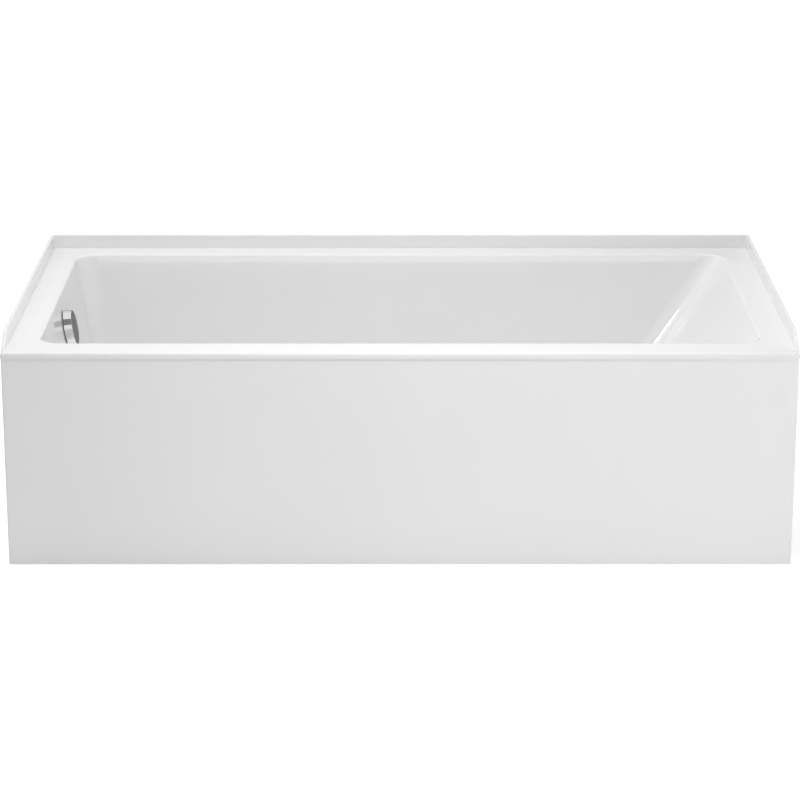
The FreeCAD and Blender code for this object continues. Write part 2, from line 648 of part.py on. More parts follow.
def cradle_rail(middle):
    """Folded steel hat section across the tub, its two lips up against the board."""
    half = RAIL_WIDTH / 2
    sheet = RAIL_SHEET
    top = BOARD_UNDERSIDE
    low = RAIL_UNDERSIDE
    outline = [(-half - RAIL_LIP, top), (-half - RAIL_LIP, top - sheet), (-half, top - sheet),
               (-half, low), (half, low), (half, top - sheet), (half + RAIL_LIP, top - sheet),
               (half + RAIL_LIP, top), (half - sheet, top), (half - sheet, low + sheet),
               (-half + sheet, low + sheet), (-half + sheet, top)]
    y_low = BASIN_MIDDLE_Y - RAIL_LENGTH / 2
    points = [Vector(middle + x, y_low, z) for x, z in outline]
    section = Part.Face(Part.makePolygon(points + [points[0]]))
    rail = section.extrude(Vector(0, RAIL_LENGTH, 0))
    holes = [rod(FOOT_STUD_RADIUS + STUD_CLEARANCE, Vector(x, y, low - BEYOND), Vector(x, y, low + BEYOND))
             for x, y in foot_places() if abs(x - middle) < TOUCH]
    holes += [rod(CRADLE_SCREW_RADIUS + SCREW_CLEARANCE, Vector(x, y, top - sheet - TOUCH),
                  Vector(x, y, top + TOUCH))
              for x, y in cradle_screw_places() if abs(x - middle) < RAIL_WIDTH]
    return rail.cut(Part.makeCompound(holes))


def cradle_screws():
    """Screws up through the rail lips into the board."""
    screws = []
    for x, y in cradle_screw_places():
        seat = Vector(x, y, BOARD_UNDERSIDE - RAIL_SHEET)
        shank = rod(CRADLE_SCREW_RADIUS, seat, Vector(x, y, CRADLE_SCREW_TIP))
        head = rod(CRADLE_SCREW_HEAD_RADIUS, seat - Vector(0, 0, CRADLE_SCREW_HEAD_HEIGHT), seat)
        screws.append(head.fuse(shank))
    return Part.makeCompound(screws)


def foot_pads():
    """Round nylon pads with a socket for the stud."""
    pads = []
    for x, y in foot_places():
        pad = rod(FOOT_PAD_RADIUS, Vector(x, y, 0), Vector(x, y, FOOT_PAD_HEIGHT))
        pad = pad.makeChamfer(FOOT_PAD_CHAMFER, edges_at_height(pad, FOOT_PAD_HEIGHT))
        socket = rod(FOOT_STUD_RADIUS + SCREW_CLEARANCE, Vector(x, y, STUD_SOCKET_FLOOR),
                     Vector(x, y, FOOT_PAD_HEIGHT + BEYOND))
        pads.append(pad.cut(socket))
    return Part.makeCompound(pads)


def foot_studs():
    """Threaded studs from the pads up through the rails."""
    return Part.makeCompound([rod(FOOT_STUD_RADIUS, Vector(x, y, STUD_SOCKET_FLOOR), Vector(x, y, STUD_TOP))
                              for x, y in foot_places()])


def hex_nut(x, y, z_low):
    """Hexagon nut round a stud."""
    corner = FOOT_NUT_ACROSS_FLATS / 2 / cosine(30)
    points = [Vector(x + corner * cosine(60 * turn), y + corner * sine(60 * turn), z_low)
              for turn in range(7)]
    nut = Part.Face(Part.makePolygon(points)).extrude(Vector(0, 0, FOOT_NUT_HEIGHT))
    return nut.cut(rod(FOOT_STUD_RADIUS + SCREW_CLEARANCE, Vector(x, y, z_low - BEYOND),
                       Vector(x, y, z_low + FOOT_NUT_HEIGHT + BEYOND)))


def foot_lock_nuts():
    """A nut under and a nut over each rail web, so that the height can be set."""
    nuts = []
    for x, y in foot_places():
        nuts.append(hex_nut(x, y, RAIL_UNDERSIDE - FOOT_NUT_HEIGHT))
        nuts.append(hex_nut(x, y, RAIL_UNDERSIDE + RAIL_SHEET))
    return Part.makeCompound(nuts)


# ---------------------------------------------------------------------------------------
# Drain: shoe, gasket, strainer, stopper and its lift lever
# ---------------------------------------------------------------------------------------

def drain_shoe():
    """Elbow under the basin floor, with a flange on top and a pipe socket towards the tee."""
    flange = rod(SHOE_FLANGE_RADIUS, at_drain(SHOE_TOP - SHOE_FLANGE_THICKNESS), at_drain(SHOE_TOP))
    body = rod(SHOE_BORE_RADIUS + FITTING_WALL, at_drain(SHOE_BOTTOM), at_drain(SHOE_TOP))
    branch = rod(SOCKET_OUTER_RADIUS, at_arm(DRAIN_X), at_arm(SHOE_SOCKET_END))
    cavity = rod(SHOE_BORE_RADIUS, at_drain(SHOE_BOTTOM + FITTING_WALL), at_drain(SHOE_TOP + BEYOND))
    passage = rod(PIPE_BORE, at_arm(DRAIN_X), at_arm(SHOE_SOCKET_END - BEYOND))
    socket = rod(PIPE_RADIUS + PIPE_CLEARANCE, at_arm(SHOE_SOCKET_END + SOCKET_DEPTH),
                 at_arm(SHOE_SOCKET_END - BEYOND))
    pin_hole = rod(LEVER_PIN_RADIUS, at_pivot(-LEVER_PIN_HALF_LENGTH), at_pivot(LEVER_PIN_HALF_LENGTH))
    return flange.fuse([body, branch]).cut(Part.makeCompound([cavity, passage])).cut(socket).cut(pin_hole)


def drain_strainer():
    """Chromed flange on the basin floor, with a sleeve down into the shoe and a guide for the stem."""
    throat = STRAINER_SLEEVE_RADIUS - STRAINER_SLEEVE_WALL
    rim = rod(STRAINER_RADIUS, at_drain(FLOOR_LEVEL), at_drain(STRAINER_TOP))
    rim = rim.makeFillet(STRAINER_EDGE_ROUND, edges_at_height(rim, STRAINER_TOP))
    sleeve = rod(STRAINER_SLEEVE_RADIUS, at_drain(STRAINER_BOTTOM), at_drain(FLOOR_LEVEL))
    opening = rod(throat, at_drain(STRAINER_BOTTOM - BEYOND), at_drain(STRAINER_TOP + BEYOND))
    ring = rim.fuse(sleeve).cut(opening)
    dish = Part.makeCone(throat, throat + STRAINER_RIM, STRAINER_RIM, at_drain(FLOOR_LEVEL))
    hub = rod(STRAINER_HUB_RADIUS, at_drain(STRAINER_BOTTOM), at_drain(STRAINER_BOTTOM + STRAINER_HUB_HEIGHT))
    spokes = []
    for index in range(STRAINER_SPOKES):
        spoke = box(0, throat + STRAINER_SLEEVE_WALL / 2, -STRAINER_SPOKE_WIDTH / 2, STRAINER_SPOKE_WIDTH / 2,
                    0, STRAINER_HUB_HEIGHT / 2)
        turn = 45.0 + index * 360.0 / STRAINER_SPOKES
        spoke.Placement = Placement(at_drain(STRAINER_BOTTOM), Rotation(Vector(0, 0, 1), turn))
        spokes.append(spoke)
    guide = rod(STEM_RADIUS + STEM_RUNNING_CLEARANCE, at_drain(STRAINER_BOTTOM - BEYOND),
                at_drain(STRAINER_TOP + BEYOND))
    return ring.cut(dish).fuse([hub] + spokes).cut(guide)


def drain_stopper():
    """Round cap that covers the strainer, with a slightly crowned top and a seal groove boss."""
    edge = rod(STOPPER_RADIUS, at_drain(STOPPER_BOTTOM), at_drain(STOPPER_BOTTOM + STOPPER_EDGE))
    edge = edge.makeFillet(STOPPER_EDGE_ROUND, edges_at_height(edge, STOPPER_BOTTOM))
    sphere_radius = (STOPPER_RADIUS ** 2 + STOPPER_CROWN ** 2) / (2 * STOPPER_CROWN)
    crown_base = STOPPER_BOTTOM + STOPPER_EDGE
    ball = Part.makeSphere(sphere_radius, at_drain(crown_base + STOPPER_CROWN - sphere_radius))
    crown = ball.common(rod(STOPPER_RADIUS, at_drain(crown_base), at_drain(crown_base + STOPPER_CROWN)))
    boss = rod(SEAL_RADIUS - SEAL_WIDTH, at_drain(SEAL_BOTTOM), at_drain(STOPPER_BOTTOM))
    socket = rod(STEM_RADIUS, at_drain(SEAL_BOTTOM - BEYOND), at_drain(STOPPER_BOTTOM))
    return edge.fuse([crown, boss]).cut(socket)


def stopper_seal():
    """Rubber ring under the cap, just clear of the strainer's throat."""
    ring = tube(SEAL_RADIUS, SEAL_RADIUS - SEAL_WIDTH, at_drain(SEAL_BOTTOM), at_drain(STOPPER_BOTTOM))
    return ring.makeChamfer(SEAL_CHAMFER, [edge for edge in edges_at_height(ring, SEAL_BOTTOM)
                                             if edge.BoundBox.XLength > 2 * SEAL_RADIUS - TOUCH])


def stopper_stem():
    """Rod from the cap down through the strainer's guide, with a chamfered nose over the lever."""
    stem = rod(STEM_RADIUS, at_drain(STEM_BOTTOM), at_drain(STOPPER_BOTTOM))
    return stem.makeChamfer(STEM_NOSE_CHAMFER, edges_at_height(stem, STEM_BOTTOM))


def lift_lever():
    """Rocker: one arm lifts the stem, the other is slotted for the cable end."""
    half = LEVER_THICKNESS / 2
    eye = rod(LEVER_EYE_RADIUS, at_pivot(-half), at_pivot(half))
    rest = LEVER_SWING / 2
    tip = Vector(PIVOT_X + LEVER_LIFT_ARM * cosine(rest), 0, LEVER_PIVOT_HEIGHT - LEVER_LIFT_ARM * sine(rest))
    pad = rod(LEVER_TIP_RADIUS, Vector(tip.x, BASIN_MIDDLE_Y - half, tip.z),
              Vector(tip.x, BASIN_MIDDLE_Y + half, tip.z))
    lift_arm = box(0, LEVER_LIFT_ARM, -half, half, -LEVER_ARM_DEPTH / 2, LEVER_ARM_DEPTH / 2)
    lift_arm.Placement = Placement(at_pivot(0), Rotation(Vector(0, 1, 0), rest))
    slot_half = LINK_PIN_RADIUS + LINK_PIN_CLEARANCE
    fork_half = slot_half + LEVER_FORK_WALL
    fork_end = LEVER_PUSH_ARM + slot_half
    push_arm = box(-fork_half, fork_half, -half, half, -fork_end, 0)
    slot = box(-slot_half, slot_half, -half - BEYOND, half + BEYOND, -fork_end - BEYOND,
               -LEVER_PUSH_ARM * cosine(rest) + slot_half)
    push_arm = push_arm.cut(slot)
    push_arm.Placement = Placement(at_pivot(0), Rotation(Vector(0, 1, 0), rest))
    bore = rod(LEVER_PIN_RADIUS + LEVER_PIN_CLEARANCE, at_pivot(-half - BEYOND), at_pivot(half + BEYOND))
    return eye.fuse([pad, lift_arm, push_arm]).cut(bore)


# ---------------------------------------------------------------------------------------
# Overflow control on the drain-end wall; local Z points out of the wall, local X down it
# ---------------------------------------------------------------------------------------

def overflow_head():
    """Housing behind the wall: flange, body, spindle bearing, screw bosses and pipe outlet."""
    flange_back = HEAD_FACE - HEAD_FLANGE_THICKNESS
    flange = rod(HEAD_FLANGE_RADIUS, along(flange_back), along(HEAD_FACE))
    body = rod(HEAD_BODY_RADIUS, along(HEAD_BACK), along(HEAD_FACE))
    hollow = rod(HEAD_BODY_RADIUS - FITTING_WALL, along(HEAD_BACK + FITTING_WALL), along(HEAD_FACE + BEYOND))
    outlet = rod(SOCKET_OUTER_RADIUS, Vector(PIPE_X, BASIN_MIDDLE_Y, HEAD_MIDDLE_Z),
                 at_pipe(HEAD_OUTLET))
    passage = rod(PIPE_BORE, at_pipe(HEAD_MIDDLE_Z), at_pipe(HEAD_OUTLET - BEYOND))
    socket = rod(PIPE_RADIUS + PIPE_CLEARANCE, at_pipe(HEAD_OUTLET + SOCKET_DEPTH),
                 at_pipe(HEAD_OUTLET - BEYOND))
    shell = on_overflow(flange.fuse(body)).fuse(outlet)
    shell = shell.cut(on_overflow(hollow)).cut(passage).cut(socket)
    bearing = rod(SPINDLE_RADIUS + BEARING_WALL, along(HEAD_BACK + FITTING_WALL), along(BEARING_FACE))
    bosses = [rod(BOSS_RADIUS, along(HEAD_BACK + FITTING_WALL, side * BACKPLATE_SCREW_SPACING / 2),
                  along(-TOUCH, side * BACKPLATE_SCREW_SPACING / 2)) for side in (-1, 1)]
    shell = shell.fuse([on_overflow(bearing)] + [on_overflow(boss) for boss in bosses])
    bores = [rod(SPINDLE_RADIUS + SPINDLE_CLEARANCE, along(SPINDLE_BACK), along(BEYOND))]
    bores += [rod(BACKPLATE_SCREW_RADIUS + SCREW_CLEARANCE,
                  along(BACKPLATE_SCREW_TIP - SCREW_CLEARANCE, side * BACKPLATE_SCREW_SPACING / 2),
                  along(BEYOND, side * BACKPLATE_SCREW_SPACING / 2)) for side in (-1, 1)]
    return shell.cut(on_overflow(Part.makeCompound(bores)))


def overflow_backplate():
    """Chromed disc against the wall: water ports, two screw holes and the spindle's front bearing."""
    plate = rod(BACKPLATE_RADIUS, along(0), along(BACKPLATE_THICKNESS))
    plate = plate.fuse(rod(SPINDLE_RADIUS + BEARING_WALL, along(-BACKPLATE_HUB), along(0)))
    holes = [rod(SPINDLE_RADIUS + SPINDLE_CLEARANCE, along(-BACKPLATE_HUB - BEYOND), along(BEYOND))]
    for side in (-1, 1):
        offset = side * BACKPLATE_SCREW_SPACING / 2
        holes.append(rod(BACKPLATE_SCREW_RADIUS + SCREW_CLEARANCE, along(-TOUCH, offset),
                         along(BEYOND, offset)))
    for side in (-1, 1):
        port = box(PORT_INNER, PORT_OUTER, -PORT_WIDTH / 2, PORT_WIDTH / 2, -BEYOND, BEYOND)
        port.rotate(Vector(0, 0, 0), Vector(0, 0, 1), 0 if side > 0 else 180)
        holes.append(port)
    return on_overflow(plate.cut(Part.makeCompound(holes)))


def backplate_screws():
    """Two screws that pull the backplate to the head."""
    screws = []
    for side in (-1, 1):
        offset = side * BACKPLATE_SCREW_SPACING / 2
        shank = rod(BACKPLATE_SCREW_RADIUS, along(BACKPLATE_SCREW_TIP, offset),
                    along(BACKPLATE_THICKNESS, offset))
        head = rod(BACKPLATE_SCREW_HEAD_RADIUS, along(BACKPLATE_THICKNESS, offset),
                   along(BACKPLATE_THICKNESS + BACKPLATE_SCREW_HEAD_HEIGHT, offset))
        screws.append(shank.fuse(head))
    return on_overflow(Part.makeCompound(screws))


def overflow_knob():
    """Deep round knob, hollow behind, with a hub for the spindle and a water notch in its skirt."""
    body = rod(KNOB_RADIUS, along(KNOB_BACK), along(KNOB_FRONT))
    body = body.makeFillet(KNOB_EDGE_ROUND, edges_at_height(body, KNOB_FRONT))
    hollow = rod(KNOB_RADIUS - KNOB_WALL, along(KNOB_BACK - BEYOND), along(KNOB_FRONT - KNOB_WALL))
    hub = rod(SPINDLE_RADIUS + BEARING_WALL, along(KNOB_HUB_BACK), along(KNOB_FRONT - KNOB_WALL))
    bore = rod(SPINDLE_RADIUS, along(KNOB_BACK - BEYOND), along(SPINDLE_FRONT))
    notch = box(KNOB_RADIUS / 2, KNOB_RADIUS + BEYOND, -KNOB_NOTCH_WIDTH / 2, KNOB_NOTCH_WIDTH / 2,
                KNOB_BACK - BEYOND, KNOB_BACK + KNOB_NOTCH_DEPTH)
    return on_overflow(body.cut(hollow).cut(notch).fuse(hub).cut(bore))


def knob_spindle():
    """Steel spindle from the knob through the backplate to the bearing at the back of the head."""
    return on_overflow(rod(SPINDLE_RADIUS, along(SPINDLE_BACK + TOUCH), along(SPINDLE_FRONT)))


def cable_drum():
    """Grooved drum on the spindle; the cable wire lies in its groove."""
    core = DRUM_RADIUS - CABLE_WIRE_RADIUS - WIRE_GAP
    body = rod(core, along(DRUM_LOW), along(DRUM_HIGH))
    cheeks = [rod(core + DRUM_CHEEK, along(DRUM_LOW), along(DRUM_LOW + DRUM_CHEEK_THICKNESS)),
              rod(core + DRUM_CHEEK, along(DRUM_HIGH - DRUM_CHEEK_THICKNESS), along(DRUM_HIGH))]
    return on_overflow(body.fuse(cheeks).cut(rod(SPINDLE_RADIUS, along(DRUM_LOW - BEYOND), along(BEYOND))))


# ---------------------------------------------------------------------------------------
# Cable from the drum to the lever
# ---------------------------------------------------------------------------------------

def cable_sheath():
    """Flexible sheath: its ends are bored for the wire at the drum and for the plunger at the lever."""
    plane_y = BASIN_MIDDLE_Y - DRUM_RADIUS
    start = on_overflow_point(Vector(SHEATH_START, -DRUM_RADIUS, DRUM_MIDDLE))
    tilt = DRAIN_END_DRAFT
    down = Vector(sine(tilt), 0, -cosine(tilt))
    first_end = start + down * CABLE_TOP_RUN
    top_centre = first_end + Vector(-cosine(tilt), 0, -sine(tilt)) * CABLE_TOP_BEND
    drop_x = top_centre.x + CABLE_TOP_BEND
    top_bend_middle = top_centre + Vector(cosine(tilt / 2), 0, sine(tilt / 2)) * CABLE_TOP_BEND
    top_bend_end = top_centre + Vector(CABLE_TOP_BEND, 0, 0)
    low_centre = Vector(drop_x + CABLE_BEND_RADIUS, plane_y, PLUNGER_HEIGHT + CABLE_BEND_RADIUS)
    low_start = low_centre + Vector(-CABLE_BEND_RADIUS, 0, 0)
    low_middle = low_centre + Vector(-sine(45), 0, -cosine(45)) * CABLE_BEND_RADIUS
    low_end = low_centre + Vector(0, 0, -CABLE_BEND_RADIUS)
    finish = Vector(SHEATH_END_X, plane_y, PLUNGER_HEIGHT)
    path = Part.Wire([
        Part.LineSegment(start, first_end).toShape(),
        Part.Arc(first_end, top_bend_middle, top_bend_end).toShape(),
        Part.LineSegment(top_bend_end, low_start).toShape(),
        Part.Arc(low_start, low_middle, low_end).toShape(),
        Part.LineSegment(low_end, finish).toShape(),
    ])
    section = Part.Wire(Part.makeCircle(CABLE_RADIUS, start, first_end - start))
    sheath = path.makePipeShell([section], True, False)
    print("cable length", round(path.Length, 1), "volume ratio",
          round(sheath.Volume / (math.pi * CABLE_RADIUS ** 2 * path.Length), 4),
          "bend radii", CABLE_TOP_BEND, CABLE_BEND_RADIUS)
    wire_bore = rod(CABLE_WIRE_RADIUS + CABLE_WIRE_CLEARANCE, start,
                    start + down * (WIRE_IN_SHEATH + WIRE_BORE_SPARE))
    plunger_bore = rod(LINK_PIN_RADIUS + CABLE_WIRE_CLEARANCE,
                       Vector(PLUNGER_BORE_X, plane_y, PLUNGER_HEIGHT), finish + Vector(BEYOND, 0, 0))
    return sheath.cut(wire_bore).cut(plunger_bore)


def cable_wire():
    """Wire from the drum groove into the top of the sheath."""
    start = on_overflow_point(Vector(0, -DRUM_RADIUS, DRUM_MIDDLE))
    end = on_overflow_point(Vector(SHEATH_START + WIRE_IN_SHEATH, -DRUM_RADIUS, DRUM_MIDDLE))
    return rod(CABLE_WIRE_RADIUS, start, end)


def cable_plunger():
    """Stiff end of the cable: a rod in the sheath's lower end with a cross pin in the lever's slot."""
    plane_y = BASIN_MIDDLE_Y - DRUM_RADIUS
    shaft = rod(LINK_PIN_RADIUS, Vector(PLUNGER_BACK_X, plane_y, PLUNGER_HEIGHT),
                Vector(LINK_X, plane_y, PLUNGER_HEIGHT))
    knuckle = Part.makeSphere(LINK_PIN_RADIUS, Vector(LINK_X, plane_y, PLUNGER_HEIGHT))
    cross_pin = rod(LINK_PIN_RADIUS, Vector(LINK_X, plane_y, PLUNGER_HEIGHT),
                    Vector(LINK_X, BASIN_MIDDLE_Y + LEVER_THICKNESS / 2, PLUNGER_HEIGHT))
    return shaft.fuse([knuckle, cross_pin])


# ---------------------------------------------------------------------------------------
# Overflow pipe, tee, waste arm and tailpiece
# ---------------------------------------------------------------------------------------

def waste_tee():
    """Tee: sockets for the overflow pipe above and the arm to the shoe, a spigot for the tailpiece."""
    collar = rod(SOCKET_OUTER_RADIUS, at_pipe(TEE_BOTTOM), at_pipe(TEE_TOP))
    body = rod(SOCKET_OUTER_RADIUS + TEE_BODY_STEP, at_pipe(TEE_BOTTOM), at_pipe(TEE_TOP - SOCKET_DEPTH))
    branch = rod(SOCKET_OUTER_RADIUS, at_arm(PIPE_X), at_arm(TEE_BRANCH_END))
    spigot = rod(PIPE_RADIUS, at_pipe(TEE_SPIGOT_END), at_pipe(ARM_HEIGHT))
    tee = body.fuse([collar, branch, spigot])
    fit = PIPE_RADIUS + PIPE_CLEARANCE
    bores = [rod(PIPE_BORE, at_pipe(TEE_SPIGOT_END - BEYOND), at_pipe(TEE_TOP + BEYOND)),
             rod(PIPE_BORE - TEE_BODY_STEP, at_arm(PIPE_X), at_arm(TEE_BRANCH_END + BEYOND)),
             rod(fit, at_pipe(TEE_TOP - SOCKET_DEPTH), at_pipe(TEE_TOP + BEYOND)),
             rod(fit, at_arm(TEE_BRANCH_END - SOCKET_DEPTH), at_arm(TEE_BRANCH_END + BEYOND))]
    for bore in bores:
        tee = tee.cut(bore)
    return tee


def tailpiece():
    """Sleeve glued over the tee's spigot; its outside is the size of the drain pipe it leads into."""
    sleeve = rod(OUTLET_RADIUS, at_pipe(OUTLET_FLOOR_GAP), at_pipe(TEE_BOTTOM))
    hub = rod(PIPE_RADIUS + PIPE_CLEARANCE, at_pipe(TEE_SPIGOT_END - PIPE_END_GAP),
              at_pipe(TEE_BOTTOM + BEYOND))
    return sleeve.cut(hub).cut(rod(PIPE_BORE, at_pipe(OUTLET_FLOOR_GAP - BEYOND), at_pipe(TEE_BOTTOM)))


def slip_joint_places():
    """Mouth of each slip-joint socket, with the rotation that turns +Z out of it."""
    return [
        (at_pipe(HEAD_OUTLET), Rotation(Vector(1, 0, 0), 180)),
        (at_pipe(TEE_TOP), Rotation()),
        (at_arm(TEE_BRANCH_END), Rotation(Vector(0, 1, 0), 90)),
    ]


def slip_nut():
    """Ribbed nut over a socket mouth at Z = 0, its end wall beyond the washer."""
    inner = SOCKET_OUTER_RADIUS + THREAD_CLEARANCE
    end_wall = SLIP_WASHER_THICKNESS + THREAD_CLEARANCE
    nut = rod(SLIP_NUT_RADIUS - SLIP_NUT_RIB_RADIUS / 2, Vector(0, 0, -SLIP_NUT_SKIRT),
              Vector(0, 0, end_wall + SLIP_NUT_WALL))
    ribs = []
    for index in range(SLIP_NUT_RIBS):
        turn = index * 360.0 / SLIP_NUT_RIBS
        reach = SLIP_NUT_RADIUS - SLIP_NUT_RIB_RADIUS
        place = Vector(reach * cosine(turn), reach * sine(turn), 0)
        ribs.append(rod(SLIP_NUT_RIB_RADIUS, place - Vector(0, 0, SLIP_NUT_SKIRT),
                        place + Vector(0, 0, end_wall)))
    nut = nut.fuse(ribs)
    nut = nut.cut(rod(inner, Vector(0, 0, -SLIP_NUT_SKIRT - BEYOND), Vector(0, 0, end_wall)))
    return nut.cut(rod(PIPE_RADIUS + PIPE_CLEARANCE, Vector(0, 0, -BEYOND), Vector(0, 0, BEYOND)))


def slip_nuts():
    """One slip nut on each slip joint."""
    nuts = []
    for mouth, turn in slip_joint_places():
        nut = slip_nut()
        nut.Placement = Placement(mouth, turn)
        nuts.append(nut)
    return Part.makeCompound(nuts)


def slip_washers():
    """One rubber washer between each socket mouth and its nut."""
    washers = []
    for mouth, turn in slip_joint_places():
        washer = tube(SOCKET_OUTER_RADIUS, PIPE_RADIUS + PIPE_CLEARANCE, Vector(0, 0, 0),
                      Vector(0, 0, SLIP_WASHER_THICKNESS))
        washer.Placement = Placement(mouth, turn)
        washers.append(washer)
    return Part.makeCompound(washers)


# ---------------------------------------------------------------------------------------
# Build
# ---------------------------------------------------------------------------------------

def apron_and_timber():
    """Nodes of the apron and the timber."""
    side_low = APRON_FACE_Y + APRON_SIDE_RETURN + RIM_RAIL_JOINT_GAP
    back_high = HALF_WIDTH - RIM_RAIL_EDGE_GAP
    back_low = back_high - BATTEN_WIDTH
    side_high = back_low - RIM_RAIL_JOINT_GAP
    outer = HALF_LENGTH - RIM_RAIL_EDGE_GAP
    inner = outer - BATTEN_WIDTH
    return {
        "front_apron": front_apron(),
        "apron_rail_top": apron_batten(DECK_UNDERSIDE - BATTEN_WIDTH, DECK_UNDERSIDE),
        "apron_rail_bottom": apron_batten(APRON_THICKNESS, APRON_THICKNESS + BATTEN_WIDTH),
        "apron_stiffeners": apron_stiffeners(),
        "rim_rail_back": rim_rail(-outer, outer, back_low, back_high),
        "rim_rail_drain_end": rim_rail(-outer, -inner, side_low, side_high),
        "rim_rail_backrest_end": rim_rail(inner, outer, side_low, side_high),
    }


def base_and_feet():
    """Nodes of the base board, the cross rails and the feet."""
    nodes = {"base_board": base_board()}
    for name, middle in zip(("drain_end", "middle", "backrest_end"), cradle_rail_places()):
        nodes["cradle_rail_" + name] = cradle_rail(middle)
    nodes["cradle_screws"] = cradle_screws()
    nodes["foot_pads"] = foot_pads()
    nodes["foot_studs"] = foot_studs()
    nodes["foot_lock_nuts"] = foot_lock_nuts()
    return nodes


def drain_and_stopper():
    """Nodes of the drain."""
    return {
        "drain_shoe": drain_shoe(),
        "shoe_gasket": tube(SHOE_FLANGE_RADIUS, SHOE_BORE_RADIUS,
                            at_drain(SHOE_TOP), at_drain(SHELL_UNDERSIDE)),
        "drain_strainer": drain_strainer(),
        "drain_stopper": drain_stopper(),
        "stopper_seal": stopper_seal(),
        "stopper_stem": stopper_stem(),
        "lift_lever": lift_lever(),
        "lever_pin": rod(LEVER_PIN_RADIUS, at_pivot(-LEVER_PIN_HALF_LENGTH), at_pivot(LEVER_PIN_HALF_LENGTH)),
    }


def overflow_control():
    """Nodes of the overflow control and its cable."""
    gasket = tube(HEAD_FLANGE_RADIUS, WALL_HOLE_RADIUS, along(HEAD_FACE), along(-SHELL_THICKNESS))
    return {
        "overflow_gasket": on_overflow(gasket),
        "overflow_head": overflow_head(),
        "overflow_backplate": overflow_backplate(),
        "backplate_screws": backplate_screws(),
        "overflow_knob": overflow_knob(),
        "knob_spindle": knob_spindle(),
        "cable_drum": cable_drum(),
        "cable_sheath": cable_sheath(),
        "cable_wire": cable_wire(),
        "cable_plunger": cable_plunger(),
    }


def pipework():
    """Nodes of the waste pipework."""
    return {
        "overflow_pipe": tube(PIPE_RADIUS, PIPE_BORE, at_pipe(TEE_TOP - SOCKET_DEPTH + PIPE_END_GAP),
                              at_pipe(HEAD_OUTLET + SOCKET_DEPTH - PIPE_END_GAP)),
        "waste_tee": waste_tee(),
        "waste_arm": tube(PIPE_RADIUS, PIPE_BORE, at_arm(TEE_BRANCH_END - SOCKET_DEPTH + PIPE_END_GAP),
                          at_arm(SHOE_SOCKET_END + SOCKET_DEPTH - PIPE_END_GAP)),
        "tailpiece": tailpiece(),
        "slip_nuts": slip_nuts(),
        "slip_washers": slip_washers(),
    }


def build():
    """Every node of the tub, by name."""
    nodes = {"tub_shell": tub_shell()}
    for group in (apron_and_timber(), base_and_feet(), drain_and_stopper(), overflow_control(), pipework()):
        nodes.update(group)
    return nodes


os.makedirs("parts", exist_ok=True)
for node, shape in build().items():
    shape.exportStep("parts/" + node + ".step")
    print(node, "solids", len(shape.Solids), "valid", shape.isValid(), "volume", round(shape.Volume))
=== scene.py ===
import json
import logging
from dataclasses import dataclass, field
from enum import Enum
from math import atan, atan2, cos, degrees, pi, radians, sin, sqrt, tan
from typing import Callable, Sequence

import bpy
from bpy.types import Material, Node, NodeSocket as Socket, NodeTree, Object
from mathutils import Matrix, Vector
from mathutils.geometry import tessellate_polygon


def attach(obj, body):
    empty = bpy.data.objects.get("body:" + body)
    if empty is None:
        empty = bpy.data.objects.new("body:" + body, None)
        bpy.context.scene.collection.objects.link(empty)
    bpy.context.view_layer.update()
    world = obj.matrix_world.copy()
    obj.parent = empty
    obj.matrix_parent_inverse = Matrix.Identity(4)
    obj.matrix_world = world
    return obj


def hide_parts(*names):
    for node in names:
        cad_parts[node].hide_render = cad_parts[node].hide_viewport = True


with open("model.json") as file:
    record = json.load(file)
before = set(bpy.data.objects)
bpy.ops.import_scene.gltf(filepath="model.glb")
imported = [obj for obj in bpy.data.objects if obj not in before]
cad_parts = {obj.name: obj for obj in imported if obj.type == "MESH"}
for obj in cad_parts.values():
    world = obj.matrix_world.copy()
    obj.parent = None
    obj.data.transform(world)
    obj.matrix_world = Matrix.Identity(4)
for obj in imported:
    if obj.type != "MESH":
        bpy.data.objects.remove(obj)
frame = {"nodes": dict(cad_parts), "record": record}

log = logging.getLogger("bathtub")

Corner = tuple[Vector, Vector]
Rows = Sequence[Sequence[Corner]]
Colour = tuple[float, float, float]
Triple = tuple[float, float, float]
Pair = tuple[float, float]

RIGHT = Vector((1.0, 0.0, 0.0))
BACK = Vector((0.0, 1.0, 0.0))
UP = Vector((0.0, 0.0, 1.0))

MILLIMETRE = 0.001
VERTEX_GRID = 1e6  # vertices closer than a micrometre are one
LEAST_TURN = 1e-14  # twice the area, in square metres, below which a face is left out
FINE_ARC_STEPS = 4
ARC_STEPS = 6
CORNER_STEPS = 8

CONTROL_CENTRE = Vector((-0.684745, 0.004, 0.3605))
CONTROL_LEAN = radians(10.0)
CONTROL_AXIS = Vector((cos(CONTROL_LEAN), 0.0, sin(CONTROL_LEAN)))


class Slot(str, Enum):
    """Material slots of the record that pieces take their finish from."""

    ACRYLIC = "acrylic_white"
    CHROME = "chrome"
    PVC = "pvc_white"
    ABS = "abs_black"
    NYLON = "nylon_grey"
    RUBBER = "rubber_black"
    TIMBER = "timber"
    BOARD = "board"
    GALVANISED = "galvanised"
    ZINC = "zinc_steel"
    STAINLESS = "stainless"
    BRASS = "brass"


# Finishes

def set_inputs(node: Node, values: dict[str, object]) -> None:
    """Sets a node's input sockets by name, with the names' spaces written as underscores."""
    for socket, value in values.items():
        node.inputs[socket.replace("_", " ")].default_value = value


